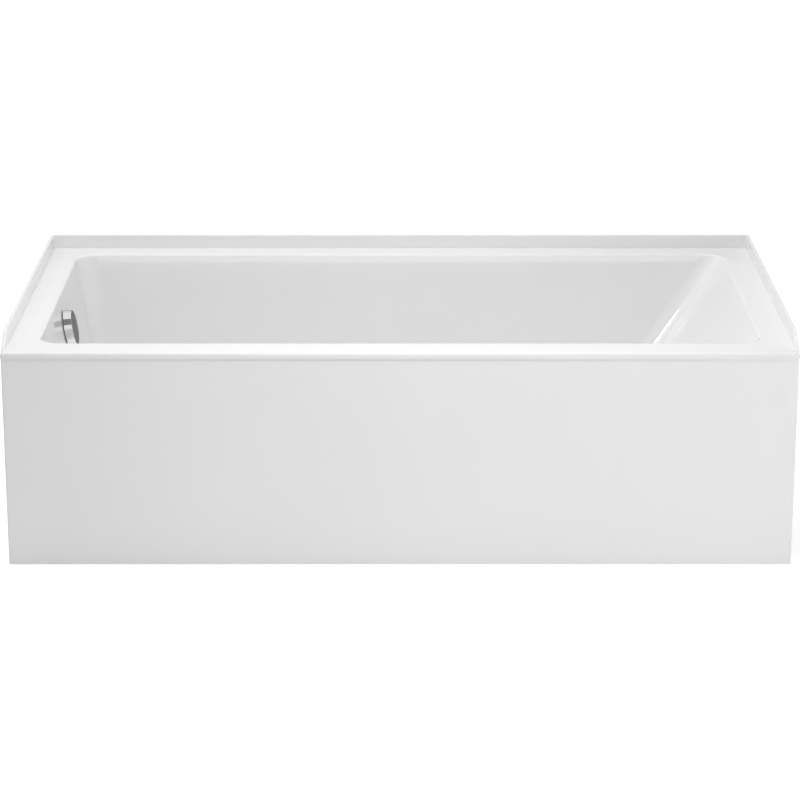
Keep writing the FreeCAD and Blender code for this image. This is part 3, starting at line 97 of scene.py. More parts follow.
def directly_seen(tree: NodeTree) -> Socket:
    """Factor of 1 for what the camera or a mirror sees, and of 0 for light on other surfaces.

    Args:
        tree: Node tree that takes the nodes.

    Returns:
        The factor's socket.
    """
    path = tree.nodes.new("ShaderNodeLightPath")
    seen = path.outputs["Is Camera Ray"]
    for ray in ("Is Glossy Ray", "Is Transmission Ray"):
        either = tree.nodes.new("ShaderNodeMath")
        either.operation = "MAXIMUM"
        tree.links.new(seen, either.inputs[0])
        tree.links.new(path.outputs[ray], either.inputs[1])
        seen = either.outputs[0]
    return seen


class Graph:
    """A node material under construction."""

    def __init__(self, name: str) -> None:
        """Starts a node material with one principled shader.

        Args:
            name: Name of the material.
        """
        self.material = bpy.data.materials.new(name)
        self.material.use_nodes = True
        self.tree = self.material.node_tree
        self.tree.nodes.clear()
        output = self.tree.nodes.new("ShaderNodeOutputMaterial")
        self.shader = self.tree.nodes.new("ShaderNodeBsdfPrincipled")
        self.link(self.shader.outputs["BSDF"], output.inputs["Surface"])
        self.place = self.tree.nodes.new("ShaderNodeTexCoord").outputs["Object"]

    def add(self, kind: str, **values: object) -> Node:
        """Adds a node and sets its input sockets.

        Args:
            kind: The node's type, without its ShaderNode prefix.
            values: Values of its inputs, with spaces in a name written as underscores.

        Returns:
            The node.
        """
        node = self.tree.nodes.new("ShaderNode" + kind)
        set_inputs(node, values)
        return node

    def link(self, source: Socket, target: Socket) -> None:
        """Joins an output socket to an input socket."""
        self.tree.links.new(source, target)

    def scaled(self, stretch: Triple) -> Socket:
        """Stretches the object's coordinates.

        Args:
            stretch: Factors along the three axes.

        Returns:
            Socket of the stretched coordinates.
        """
        mapping = self.add("Mapping", Scale=stretch)
        self.link(self.place, mapping.inputs["Vector"])
        return mapping.outputs["Vector"]

    def arithmetic(self, operation: str, *values: Socket | float) -> Socket:
        """Adds a math node.

        Args:
            operation: Name of its operation.
            values: Sockets and plain numbers that it works on.

        Returns:
            Socket of the result.
        """
        node = self.add("Math")
        node.operation = operation
        for value, target in zip(values, node.inputs):
            if isinstance(value, float):
                target.default_value = value
            else:
                self.link(value, target)
        return node.outputs[0]

    def noise(self, scale: float, detail: float = 3.0, place: Socket | None = None) -> Socket:
        """Adds a noise texture.

        Args:
            scale: Cells per metre.
            detail: Finer layers on top of the first.
            place: Coordinates, or none for the object's own.

        Returns:
            Socket of the noise.
        """
        node = self.add("TexNoise", Scale=scale, Detail=detail)
        self.link(place or self.place, node.inputs["Vector"])
        return node.outputs["Fac"]

    def ramp(self, factor: Socket, low: Colour, high: Colour,
             start: float = 0.3, end: float = 0.7) -> Socket:
        """Turns a factor into a colour.

        Args:
            factor: Socket of the factor.
            low: Colour up to the start.
            high: Colour from the end on.
            start: Factor where the change starts.
            end: Factor where the change ends.

        Returns:
            Socket of the colour.
        """
        node = self.add("ValToRGB")
        for stop, place, colour in zip(node.color_ramp.elements, (start, end), (low, high)):
            stop.position = place
            stop.color = (*colour, 1.0)
        self.link(factor, node.inputs["Fac"])
        return node.outputs["Color"]

    def spread(self, factor: Socket, low: float, high: float) -> Socket:
        """Turns a factor into a number.

        Args:
            factor: Socket of the factor.
            low: Number at a factor of 0.
            high: Number at a factor of 1.

        Returns:
            Socket of the number.
        """
        node = self.add("MapRange", To_Min=low, To_Max=high)
        self.link(factor, node.inputs["Value"])
        return node.outputs["Result"]

    def bump(self, height: Socket, depth: float, strength: float = 1.0) -> None:
        """Gives the shader a fine relief.

        Args:
            height: Socket of the height.
            depth: Depth in metres.
            strength: Share of the relief that shows.
        """
        node = self.add("Bump", Strength=strength, Distance=depth)
        self.link(height, node.inputs["Height"])
        self.link(node.outputs["Normal"], self.shader.inputs["Normal"])

    def finish(self, colour: Socket, roughness: Socket, **fixed: object) -> Material:
        """Joins colour and roughness to the shader and sets its other inputs.

        Args:
            colour: Socket of the base colour.
            roughness: Socket of the roughness.
            fixed: Values of other inputs, with spaces in a name written as underscores.

        Returns:
            The finished material.
        """
        self.link(colour, self.shader.inputs["Base Color"])
        self.link(roughness, self.shader.inputs["Roughness"])
        set_inputs(self.shader, fixed)
        return self.material


@dataclass(frozen=True)
class PolishedMetal:
    """Plated or turned metal with fine polishing marks."""

    name: str
    colour: Colour = (0.80, 0.80, 0.81)
    shade: Colour = (0.72, 0.72, 0.74)
    roughness: Pair = (0.03, 0.07)
    marks: float = 900.0
    stretch: Triple = (1.0, 1.0, 1.0)
    clouds: float = 60.0
    mark_depth: float = 0.000004

    def material(self) -> Material:
        """Builds the metal's node material.

        Returns:
            The material.
        """
        graph = Graph(self.name)
        place = graph.scaled(self.stretch)
        marks = graph.noise(self.marks, place=place)
        graph.bump(marks, self.mark_depth)
        clouds = graph.noise(self.clouds, place=place)
        return graph.finish(graph.ramp(clouds, self.shade, self.colour),
                            graph.spread(marks, *self.roughness), Metallic=1.0)


@dataclass(frozen=True)
class ControlChrome:
    """Overflow control's chrome as a lit and a shaded copy: a paler rim and a face painted dark as
    a painted reflection.
    """

    name: str = "control_chrome_painted_face"
    painted_face_start: float = 0.0181
    # Painted light: the rim is a paler copy of the chrome that lifts its highlights, and the face
    # is a dark copy that stands for a painted reflection.
    rim: Colour = (0.93, 0.93, 0.93)
    face: Colour = (0.26, 0.26, 0.265)
    grazing: float = 0.55
    roughness: Pair = (0.04, 0.20)
    marks: float = 900.0
    mark_share: float = 0.06
    mark_depth: float = 0.000003

    def material(self) -> Material:
        """Builds the plating's node material.

        Returns:
            The material.
        """
        graph = Graph(self.name)
        reach = graph.add("VectorMath")
        reach.operation = "DOT_PRODUCT"
        reach.inputs[1].default_value = CONTROL_AXIS
        graph.link(graph.place, reach.inputs[0])
        # Everything beyond this distance along the axis is the face, which takes the dark painted
        # reflection.
        start = CONTROL_CENTRE.dot(CONTROL_AXIS) + self.painted_face_start
        front = graph.arithmetic("GREATER_THAN", reach.outputs["Value"], start)
        marks = graph.noise(self.marks)
        graph.bump(marks, self.mark_depth)
        change = graph.arithmetic("MULTIPLY_ADD", marks, self.mark_share, front)
        return graph.finish(graph.ramp(change, self.rim, self.face, 0.0, 1.0),
                            graph.spread(change, *self.roughness), Metallic=1.0,
                            Specular_Tint=(self.grazing, self.grazing, self.grazing, 1.0))


@dataclass(frozen=True)
class Plastic:
    """Sheet or moulded plastic, or rubber: an even colour under a smooth or grained skin."""

    name: str
    colour: Colour
    shade: Colour
    roughness: Pair = (0.28, 0.42)
    grain: float = 2600.0
    grain_depth: float = 0.00002
    grain_detail: float = 2.0
    clouds: float = 18.0
    smears: float = 140.0
    bending: float = 1.5
    coat: float = 0.0

    def material(self) -> Material:
        """Builds the plastic's node material.

        Returns:
            The material.
        """
        graph = Graph(self.name)
        graph.bump(graph.noise(self.grain, self.grain_detail), self.grain_depth)
        return graph.finish(graph.ramp(graph.noise(self.clouds), self.shade, self.colour),
                            graph.spread(graph.noise(self.smears), *self.roughness),
                            IOR=self.bending, Coat_Weight=self.coat)


@dataclass(frozen=True)
class PlanedTimber:
    """Planed softwood with long growth rings along X or Y."""

    name: str
    along_x: bool = True
    pale: Colour = (0.62, 0.44, 0.26)
    dark: Colour = (0.46, 0.29, 0.14)
    late_wood: Pair = (0.15, 0.75)
    ring_scale: float = 1.3
    ring_waver: float = 7.0
    ring_detail: float = 3.0
    ring_stretch: Pair = (0.9, 26.0)
    pores: float = 90.0
    pore_detail: float = 5.0
    pore_stretch: Pair = (0.08, 1.0)
    pore_depth: float = 0.0002
    pore_relief: float = 0.5
    roughness: Pair = (0.5, 0.75)

    def grain(self, stretch: Pair) -> Triple:
        """Stretch of the three axes from a stretch along the piece and one across it."""
        along, across = stretch
        return (along, across, across) if self.along_x else (across, along, across)

    def material(self) -> Material:
        """Builds the timber's node material.

        Returns:
            The material.
        """
        graph = Graph(self.name)
        rings = graph.add("TexWave", Scale=self.ring_scale, Distortion=self.ring_waver,
                          Detail=self.ring_detail)
        rings.wave_type = "RINGS"
        rings.rings_direction = "X" if self.along_x else "Y"
        graph.link(graph.scaled(self.grain(self.ring_stretch)), rings.inputs["Vector"])
        pores = graph.noise(self.pores, self.pore_detail,
                            graph.scaled(self.grain(self.pore_stretch)))
        graph.bump(pores, self.pore_depth, self.pore_relief)
        return graph.finish(graph.ramp(rings.outputs["Fac"], self.dark, self.pale, *self.late_wood),
                            graph.spread(pores, *self.roughness))


@dataclass(frozen=True)
class ParticleBoard:
    """Pressed board of wood flakes."""

    name: str = "particle_board"
    pale: Colour = (0.50, 0.38, 0.23)
    dark: Colour = (0.30, 0.21, 0.11)
    flakes: float = 260.0
    flake_stretch: Triple = (1.0, 0.45, 1.0)
    flake_tones: Pair = (0.1, 0.8)
    flake_depth: float = 0.0002
    flake_relief: float = 0.5
    smears: float = 80.0
    roughness: Pair = (0.6, 0.8)

    def material(self) -> Material:
        """Builds the board's node material.

        Returns:
            The material.
        """
        graph = Graph(self.name)
        flakes = graph.add("TexVoronoi", Scale=self.flakes, Randomness=1.0)
        graph.link(graph.scaled(self.flake_stretch), flakes.inputs["Vector"])
        graph.bump(flakes.outputs["Distance"], self.flake_depth, self.flake_relief)
        tone = graph.ramp(flakes.outputs["Color"], self.dark, self.pale, *self.flake_tones)
        return graph.finish(tone, graph.spread(graph.noise(self.smears), *self.roughness))


@dataclass(frozen=True)
class CoatedSteel:
    """Zinc-coated sheet or bar with its crystal spangle."""

    name: str
    pale: Colour = (0.58, 0.60, 0.62)
    dark: Colour = (0.40, 0.42, 0.44)
    spangle: float = 120.0
    roughness: Pair = (0.25, 0.45)
    tones: Pair = (0.1, 0.9)
    pits: float = 500.0
    pit_depth: float = 0.00002
    pit_relief: float = 0.6

    def material(self) -> Material:
        """Builds the coated steel's node material.

        Returns:
            The material.
        """
        graph = Graph(self.name)
        crystals = graph.add("TexVoronoi", Scale=self.spangle, Randomness=1.0)
        graph.link(graph.place, crystals.inputs["Vector"])
        graph.bump(graph.noise(self.pits), self.pit_depth, self.pit_relief)
        tone = crystals.outputs["Color"]
        return graph.finish(graph.ramp(tone, self.dark, self.pale, *self.tones),
                            graph.spread(tone, *self.roughness), Metallic=1.0)


# Mesh building

class Skin:
    """Faces with a true surface normal at every corner, gathered into one mesh."""

    def __init__(self, name: str) -> None:
        """Starts an empty skin.

        Args:
            name: Name of the object that it becomes.
        """
        self.name = name
        self.points: list[Vector] = []
        self.faces: list[list[int]] = []
        self.normals: list[Vector] = []
        self.found: dict[tuple[int, ...], int] = {}

    def vertex(self, point: Vector) -> int:
        """Finds the vertex at a point, or adds it.

        Args:
            point: The vertex's place.

        Returns:
            The vertex's number.
        """
        key = tuple(round(value * VERTEX_GRID) for value in point)
        if key not in self.found:
            self.found[key] = len(self.points)
            self.points.append(point.copy())
        return self.found[key]

    def face(self, corners: Sequence[Corner]) -> None:
        """Adds a face, turned to look the way that its corners' normals point.

        Args:
            corners: Points and normals round the face.
        """
        kept: list[tuple[int, Vector]] = []
        for point, normal in corners:
            index = self.vertex(point)
            if index not in [known for known, _ in kept]:
                kept.append((index, normal))
        if len(kept) < 3:
            return
        places = [self.points[index] for index, _ in kept]
        turn = Vector()
        for first, second in zip(places[1:], places[2:]):
            turn += (first - places[0]).cross(second - places[0])
        if turn.length < LEAST_TURN:
            return
        if turn.dot(sum((normal for _, normal in kept), Vector())) < 0.0:
            kept.reverse()
        self.faces.append([index for index, _ in kept])
        self.normals.extend(normal.normalized() for _, normal in kept)

    def grid(self, rows: Rows, closed: bool = False, skip: frozenset[int] = frozenset()) -> None:
        """Adds the quads between neighbouring rows of corners.

        Args:
            rows: Rows of corners, all of one length.
            closed: Whether each row joins up with its own start.
            skip: Numbers of the columns that are left out.
        """
        count = len(rows[0])
        for low, high in zip(rows, rows[1:]):
            for column in range(count if closed else count - 1):
                if column not in skip:
                    after = (column + 1) % count
                    self.face([low[column], low[after], high[after], high[column]])

    def plate(self, outline: Sequence[Vector], normal: Vector,
              holes: Sequence[Sequence[Vector]] = ()) -> None:
        """Adds a flat face with holes.

        Args:
            outline: Points round the face.
            normal: Direction that the face looks in.
            holes: Points round each hole.
        """
        loops = [list(outline), *[list(hole) for hole in holes]]
        flat = [point for loop in loops for point in loop]
        for triangle in tessellate_polygon(loops):
            self.face([(flat[index], normal) for index in triangle])

    def build(self, body: str, slot: Slot, node: str) -> Object:
        """Makes the object, hangs it on its body and hides the CAD node that it stands for.

        Args:
            body: Body that it moves with.
            slot: Material slot of its finish; not used.
            node: CAD node that it stands for.

        Returns:
            The new object.
        """
        mesh = bpy.data.meshes.new(self.name)
        mesh.from_pydata([tuple(point) for point in self.points], [], self.faces)
        mesh.polygons.foreach_set("use_smooth", [True] * len(self.faces))
        mesh.normals_split_custom_set([tuple(normal) for normal in self.normals])
        mesh.update()
        piece = bpy.data.objects.new(self.name, mesh)
        bpy.context.scene.collection.objects.link(piece)
        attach(piece, body)
        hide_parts(node)
        log.info("%s: %d faces, for %s", self.name, len(self.faces), node)
        return piece


def fan(count: int, start: float, end: float) -> list[float]:
    """Evenly spaced angles in radians, from a first to a last one in degrees."""
    return [radians(start + (end - start) * step / count) for step in range(count + 1)]


def level(angle: float) -> Vector:
    """Level direction at an angle from the X axis."""
    return Vector((cos(angle), sin(angle), 0.0))


@dataclass(frozen=True)
class WallStation:
    """One upright line of the basin's wall, at a place on its rounded outline."""

    basin: "Basin"
    side_x: int
    side_y: int
    angle: float

    @property
    def out(self) -> Vector:
        """Level direction out of the basin at this line."""
        return level(self.angle)

    def facing(self, angle: float) -> Vector:
        """Direction into the basin, turned up from level by an angle."""
        return UP * sin(angle) - self.out * cos(angle)

    def point(self, depth: float, grow: float) -> Vector:
        """Point on the wall, found from the corner arc that this line belongs to.

        Args:
            depth: Depth below the deck.
            grow: Distance out from the inner face.

        Returns:
            The point.
        """
        basin = self.basin
        share = depth / basin.depth
        foot = basin.drain_corner if self.side_x < 0 else basin.backrest_corner
        radius = basin.opening_corner + (foot - basin.opening_corner) * share + grow
        draft_x = radians(basin.drain_draft if self.side_x < 0 else basin.backrest_draft)
        draft_y = radians(basin.side_draft)
        edge_x = basin.x_low if self.side_x < 0 else basin.x_high
        edge_y = basin.y_low if self.side_y < 0 else basin.y_high
        edge_x += self.side_x * (grow / cos(draft_x) - depth * tan(draft_x))
        edge_y += self.side_y * (grow / cos(draft_y) - depth * tan(draft_y))
        centre = Vector((edge_x - self.side_x * radius, edge_y - self.side_y * radius,
                         basin.deck - depth))
        return centre + self.out * radius

    def slope(self) -> float:
        """Lean of the wall from upright at this line, in radians."""
        inward = (self.point(0.0, 0.0) - self.point(self.basin.depth, 0.0)).dot(self.out)
        return atan(inward / self.basin.depth)


@dataclass(frozen=True)
class Basin:
    """The basin's tapered walls, rounded foot and flat floor."""

    deck: float = 0.430
    floor: float = 0.082
    x_low: float = -0.697
    x_high: float = 0.699
    y_low: float = -0.337
    y_high: float = 0.345
    drain_draft: float = 10.0
    backrest_draft: float = 35.0
    side_draft: float = 8.0
    opening_corner: float = 0.044
    drain_corner: float = 0.050
    backrest_corner: float = 0.050
    floor_blend: float = 0.045
    edge_round: float = 0.006
    wall: float = 0.006
    corner_steps: int = 40
    edge_steps: int = 14
    wall_steps: int = 8
    foot_steps: int = 16

    @property
    def depth(self) -> float:
        """Depth of the floor below the deck."""
        return self.deck - self.floor

    def stations(self) -> list[WallStation]:
        """Lines of the wall, from the drain end's front corner round to its back one.

        Returns:
            The lines in order.
        """
        turns = ((-1, -1, 180.0), (1, -1, 270.0), (1, 1, 0.0), (-1, 1, 90.0))
        return [WallStation(self, side_x, side_y, angle) for side_x, side_y, start in turns
                for angle in fan(self.corner_steps, start, start + 90.0)]

    def rows(self, steps: int, corner: Callable[[WallStation, float, float], Corner]) -> Rows:
        """Rows of corners round the wall.

        Args:
            steps: Number of strips.
            corner: Gives a line's corner from its lean and the share of the way down.

        Returns:
            The rows, from the top down.
        """
        lines = [(line, line.slope()) for line in self.stations()]
        return [[corner(line, lean, step / steps) for line, lean in lines]
                for step in range(steps + 1)]

    def edge_rows(self) -> Rows:
        """Rows of the rounded edge between the deck and the wall.

        Returns:
            The rows, from the deck down.
        """
        def corner(line: WallStation, lean: float, share: float) -> Corner:
            """Corner on the rounded edge.

            Args:
                line: Line of the wall.
                lean: Lean of the wall there.
                share: Share of the way down.

            Returns:
                The point and its normal.
            """
            normal = line.facing(pi / 2 + (lean - pi / 2) * share)
            foot = line.point(self.edge_round * (1 - sin(lean)), 0.0)
            return foot + (normal - line.facing(lean)) * self.edge_round, normal

        return self.rows(self.edge_steps, corner)

    def wall_rows(self, grow: float, top: float | None) -> Rows:
        """Rows of the straight wall.

        Args:
            grow: Distance out from the inner face.
            top: Depth where it starts, or none for the foot of the edge round.

        Returns:
            The rows, from the top down.
        """
        blend = self.floor_blend + grow

        def corner(line: WallStation, lean: float, share: float) -> Corner:
            """Corner on the straight wall.

            Args:
                line: Line of the wall.
                lean: Lean of the wall there.
                share: Share of the way down.

            Returns:
                The point and its normal.
            """
            start = self.edge_round * (1 - sin(lean)) if top is None else top
            end = self.depth + grow - blend * (1 - sin(lean))
            normal = line.facing(lean)
            point = line.point(start + (end - start) * share, grow)
            return point, normal if top is None else -normal

        return self.rows(self.wall_steps, corner)

    def foot_rows(self, grow: float) -> Rows:
        """Rows of the rounded foot between the wall and the floor.

        Args:
            grow: Distance out from the inner face.

        Returns:
            The rows, from the wall to the floor.
        """
        blend = self.floor_blend + grow

        def corner(line: WallStation, lean: float, share: float) -> Corner:
            """Corner on the rounded foot.

            Args:
                line: Line of the wall.
                lean: Lean of the wall there.
                share: Share of the way down.

            Returns:
                The point and its normal.
            """
            normal = line.facing(lean + (pi / 2 - lean) * share)
            top = line.point(self.depth + grow - blend * (1 - sin(lean)), grow)
            return top + (line.facing(lean) - normal) * blend, -normal if grow else normal

        return self.rows(self.foot_steps, corner)


@dataclass
class TubShell:
    """The formed shell: deck, basin, tile flange on three sides and turned-down front lip."""

    basin: Basin = field(default_factory=Basin)
    half_length: float = 0.762
    half_width: float = 0.4065
    flange_rise: float = 0.030
    flange_thickness: float = 0.0073
    flange_round: float = 0.0025
    flange_cove: float = 0.001
    flange_corner: float = 0.0035
    slope_start: float = 0.0075
    slope_length: float = 0.049
    slope_places_mm: tuple[float, ...] = (0, 0.5, 1, 1.5, 2, 3, 4, 5, 6, 8, 10, 12, 15, 20, 30)
    shoulder: float = 0.024
    shoulder_steps: int = 8
    round_change: float = 0.012
    end_length: float = 0.006
    lip_round: float = 0.0055
    lip_bottom: float = 0.4185
    lip_thickness: float = 0.005
    drain_x: float = -0.542
    middle_y: float = 0.004
    drain_hole: float = 0.0215
    overflow_drop: float = 0.0695
    overflow_hole: float = 0.027
    ring_steps: int = 64

    @property
    def deck_underside(self) -> float:
        """Height of the deck's underside."""
        return self.basin.deck - self.basin.wall

    @property
    def front_line(self) -> float:
        """Y where the deck turns down into the lip."""
        return -self.half_width + self.lip_round

    @property
    def slope_lean(self) -> float:
        """Angle of the side flanges' sloped front ends."""
        return atan2(self.flange_rise, self.slope_length)

    @property
    def setback(self) -> float:
        """Distance from the shoulder's crest to either end of its arc."""
        return self.shoulder * tan(self.slope_lean / 2)

    @property
    def shoulder_start(self) -> float:
        """Run up the slope where the shoulder's arc begins."""
        return self.slope_length - self.setback * cos(self.slope_lean)

    def flange_height(self, run: float) -> Pair:
        """Height of a side flange above the deck.

        Args:
            run: Distance behind the deck's front edge.

        Returns:
            The height and its slope.
        """
        run -= self.slope_start
        if run <= 0.0:
            return 0.0, 0.0
        if run <= self.shoulder_start:
            rate = tan(self.slope_lean)
            return run * rate, rate
        short = self.slope_length + self.setback - run
        if short <= 0.0:
            return self.flange_rise, 0.0
        drop = sqrt(self.shoulder ** 2 - short ** 2)
        return self.flange_rise - self.shoulder + drop, short / drop

    def flange_path(self) -> list[tuple[Vector, Vector, Vector, float]]:
        """Places along the flange's inner face, from the left front round the back to the right.

        Returns:
            Point, outward direction, direction of travel and distance behind the front edge.
        """
        inner_x = self.half_length - self.flange_thickness
        inner_y = self.half_width - self.flange_thickness
        corner = self.flange_corner
        climb = [MILLIMETRE * place for place in self.slope_places_mm]
        bend = self.slope_length + self.setback - self.shoulder_start
        climb += [self.shoulder_start + bend * step / self.shoulder_steps
                  for step in range(self.shoulder_steps + 1)]
        runs = [0.0, self.end_length / 2, self.end_length]
        runs += [self.slope_start + run for run in climb]
        path = [(Vector((-inner_x, self.front_line + run, 0.0)), -RIGHT, BACK, run) for run in runs]
        for centre_x, start in ((-inner_x + corner, 180.0), (inner_x - corner, 90.0)):
            for angle in fan(CORNER_STEPS, start, start - 90.0):
                out = level(angle)
                centre = Vector((centre_x, inner_y - corner, 0.0))
                path.append((centre + out * corner, out, Vector((out.y, -out.x, 0.0)),
                             2 * self.half_width))
        path += [(Vector((inner_x, self.front_line + run, 0.0)), RIGHT, -BACK, run)
                 for run in reversed(runs)]
        return path

    def flange_section(self, run: float, rising: float) -> list[tuple[float, ...]]:
        """Section across the flange, from the deck over the top and down the outer face.

        Args:
            run: Distance behind the deck's front edge.
            rising: 1 if the path climbs with the run, -1 if it falls.

        Returns:
            Distance out, height, and the normal's outward, upward and forward parts.
        """
        height, slope = self.flange_height(run)
        share = min(1.0, height / (self.flange_cove + self.flange_round))
        cove = self.flange_cove * share
        inner = self.flange_round * share
        ease = min(1.0, height / self.round_change)
        ease = ease * ease * (3 - 2 * ease)  # starts and ends level
        outer = self.lip_round + (self.flange_round - self.lip_round) * ease
        deck = self.basin.deck
        top = deck + height
        tilt = -slope * rising
        arcs = (
            (fan(ARC_STEPS, 90.0, 0.0), -cove, deck + cove, cove, -cove, -1.0, 0.0),
            (fan(FINE_ARC_STEPS, 0.0, 90.0), inner, top - inner, -inner, inner, -1.0, tilt),
            (fan(ARC_STEPS, 90.0, 0.0), self.flange_thickness - outer, top - outer, outer, outer,
             1.0, tilt),
        )
        section = []
        for angles, centre_out, centre_up, across, up, face, forward in arcs:
            for angle in angles:
                cosine, sine = cos(angle), sin(angle)
                section.append((centre_out + across * cosine, centre_up + up * sine,
                                face * cosine, sine, forward * sine))
        rise = (self.deck_underside - self.lip_bottom) * min(1.0, run / self.end_length)
        section.append((self.flange_thickness, self.lip_bottom + rise, 1.0, 0.0, 0.0))
        return section

    def flange_columns(self) -> list[list[Corner]]:
        """Corners across the flange at each place along its path.

        Returns:
            The columns, from the left front round the back to the right front.
        """
        columns = []
        path = self.flange_path()
        for index, (place, out, along, run) in enumerate(path):
            rising = 1.0 if index < len(path) // 2 else -1.0
            section = self.flange_section(run, rising)
            columns.append([(place + out * reach + UP * height,
                             out * face + UP * lift + along * forward)
                            for reach, height, face, lift, forward in section])
        return columns

    def lip_columns(self) -> list[list[Corner]]:
        """Corners down the front lip.

        Returns:
            The columns, from the left corner to the right one.
        """
        columns = []
        reach = self.half_length - self.lip_round
        inner = self.half_length - self.flange_thickness
        places = [(-reach, angle) for angle in fan(CORNER_STEPS, 180.0, 270.0)]
        places += [(-inner, radians(270.0)), (inner, radians(270.0))]
        places += [(reach, angle) for angle in fan(CORNER_STEPS, 270.0, 360.0)]
        for x, turn in places:
            out = level(turn)
            centre = Vector((x, self.front_line, self.basin.deck - self.lip_round))
            column = []
            for angle in fan(ARC_STEPS, 90.0, 0.0):
                normal = out * cos(angle) + UP * sin(angle)
                column.append((centre + normal * self.lip_round, normal))
            foot = column[-1][0].copy()
            foot.z = self.lip_bottom
            columns.append([*column, (foot, out)])
        return columns

    def ring(self, centre: Vector, across: Vector, up: Vector, radius: float) -> list[Vector]:
        """Points round a circle in the plane of two directions."""
        return [centre + (across * cos(angle) + up * sin(angle)) * radius
                for angle in fan(self.ring_steps, 0.0, 360.0)[:-1]]

    def overflow_ring(self, inset: float) -> list[Vector]:
        """Edge of the overflow hole.

        Args:
            inset: Distance behind the wall's inner face.

        Returns:
            The points round the hole.
        """
        lean = radians(self.basin.drain_draft)
        face = Vector((cos(lean), 0.0, sin(lean)))
        centre = Vector((self.basin.x_low + self.overflow_drop * tan(lean), self.middle_y,
                         self.basin.deck - self.overflow_drop))
        return self.ring(centre - face * inset, BACK, face.cross(BACK), self.overflow_hole)

    def drain_ring(self, height: float) -> list[Vector]:
        """Edge of the drain hole at a height."""
        return self.ring(Vector((self.drain_x, self.middle_y, height)), RIGHT, BACK,
                         self.drain_hole)

    def bore(self, skin: Skin, near: Sequence[Vector], far: Sequence[Vector]) -> None:
        """Adds the cut edge of a hole.

        Args:
            skin: Skin that takes the faces.
            near: Points round its inner rim.
            far: Points round its outer rim.
        """
        middle = sum(near, Vector()) / len(near)
        skin.grid([[(point, middle - rim) for point, rim in zip(points, near)]
                   for points in (near, far)], closed=True)

    def walled(self, skin: Skin, rows: Rows, hole: Sequence[Vector]) -> None:
        """Adds the straight wall, with the overflow hole in its drain end.

        Args:
            skin: Skin that takes the faces.
            rows: Rows of the wall's corners.
            hole: Points round the overflow hole.
        """
        last = len(rows[0]) - 1
        skin.grid(rows, closed=True, skip=frozenset({last}))
        outline = [row[last][0] for row in rows] + [row[0][0] for row in reversed(rows)]
        skin.plate(outline, rows[0][0][1], [hole])

    def build(self) -> Object:
        """Builds the whole shell as one closed skin.

        Returns:
            The shell's object.
        """
        basin = self.basin
        wall = basin.wall
        skin = Skin("bathtub_shell")
        edge = basin.edge_rows()
        skin.grid(edge, closed=True)
        self.walled(skin, basin.wall_rows(0.0, None), self.overflow_ring(0.0))
        foot = basin.foot_rows(0.0)
        skin.grid(foot, closed=True)
        skin.plate([point for point, _ in foot[-1]], UP, [self.drain_ring(basin.floor)])
        outside = basin.wall_rows(wall, wall)
        self.walled(skin, outside, self.overflow_ring(wall))
        heel = basin.foot_rows(wall)
        skin.grid(heel, closed=True)
        skin.plate([point for point, _ in heel[-1]], -UP, [self.drain_ring(basin.floor - wall)])
        self.bore(skin, self.drain_ring(basin.floor), self.drain_ring(basin.floor - wall))
        self.bore(skin, self.overflow_ring(0.0), self.overflow_ring(wall))
        flange = self.flange_columns()
        skin.grid(flange)
        lip = self.lip_columns()
        skin.grid(lip)
        skin.plate([column[0][0] for column in flange], UP, [[point for point, _ in edge[0]]])
        low_line = [column[-1][0] for column in flange]
        reach = self.half_length - self.lip_round
        lip_back = -self.half_width + self.lip_thickness
        turn_in = [Vector((reach, self.front_line, 0.0)), Vector((reach, lip_back, 0.0)),
                   Vector((-reach, lip_back, 0.0)), Vector((-reach, self.front_line, 0.0))]
        high = [point + UP * self.deck_underside for point in turn_in]
        low = [point + UP * self.lip_bottom for point in turn_in]
        skin.plate(low_line + high, -UP, [[point for point, _ in outside[0]]])
        skin.plate([column[-1][0] for column in lip] + low, -UP)
        skin.grid([[(point, BACK) for point in (low_line[-1], *points, low_line[0])]
                   for points in (high, low)])
        return skin.build("root", Slot.ACRYLIC, "tub_shell")


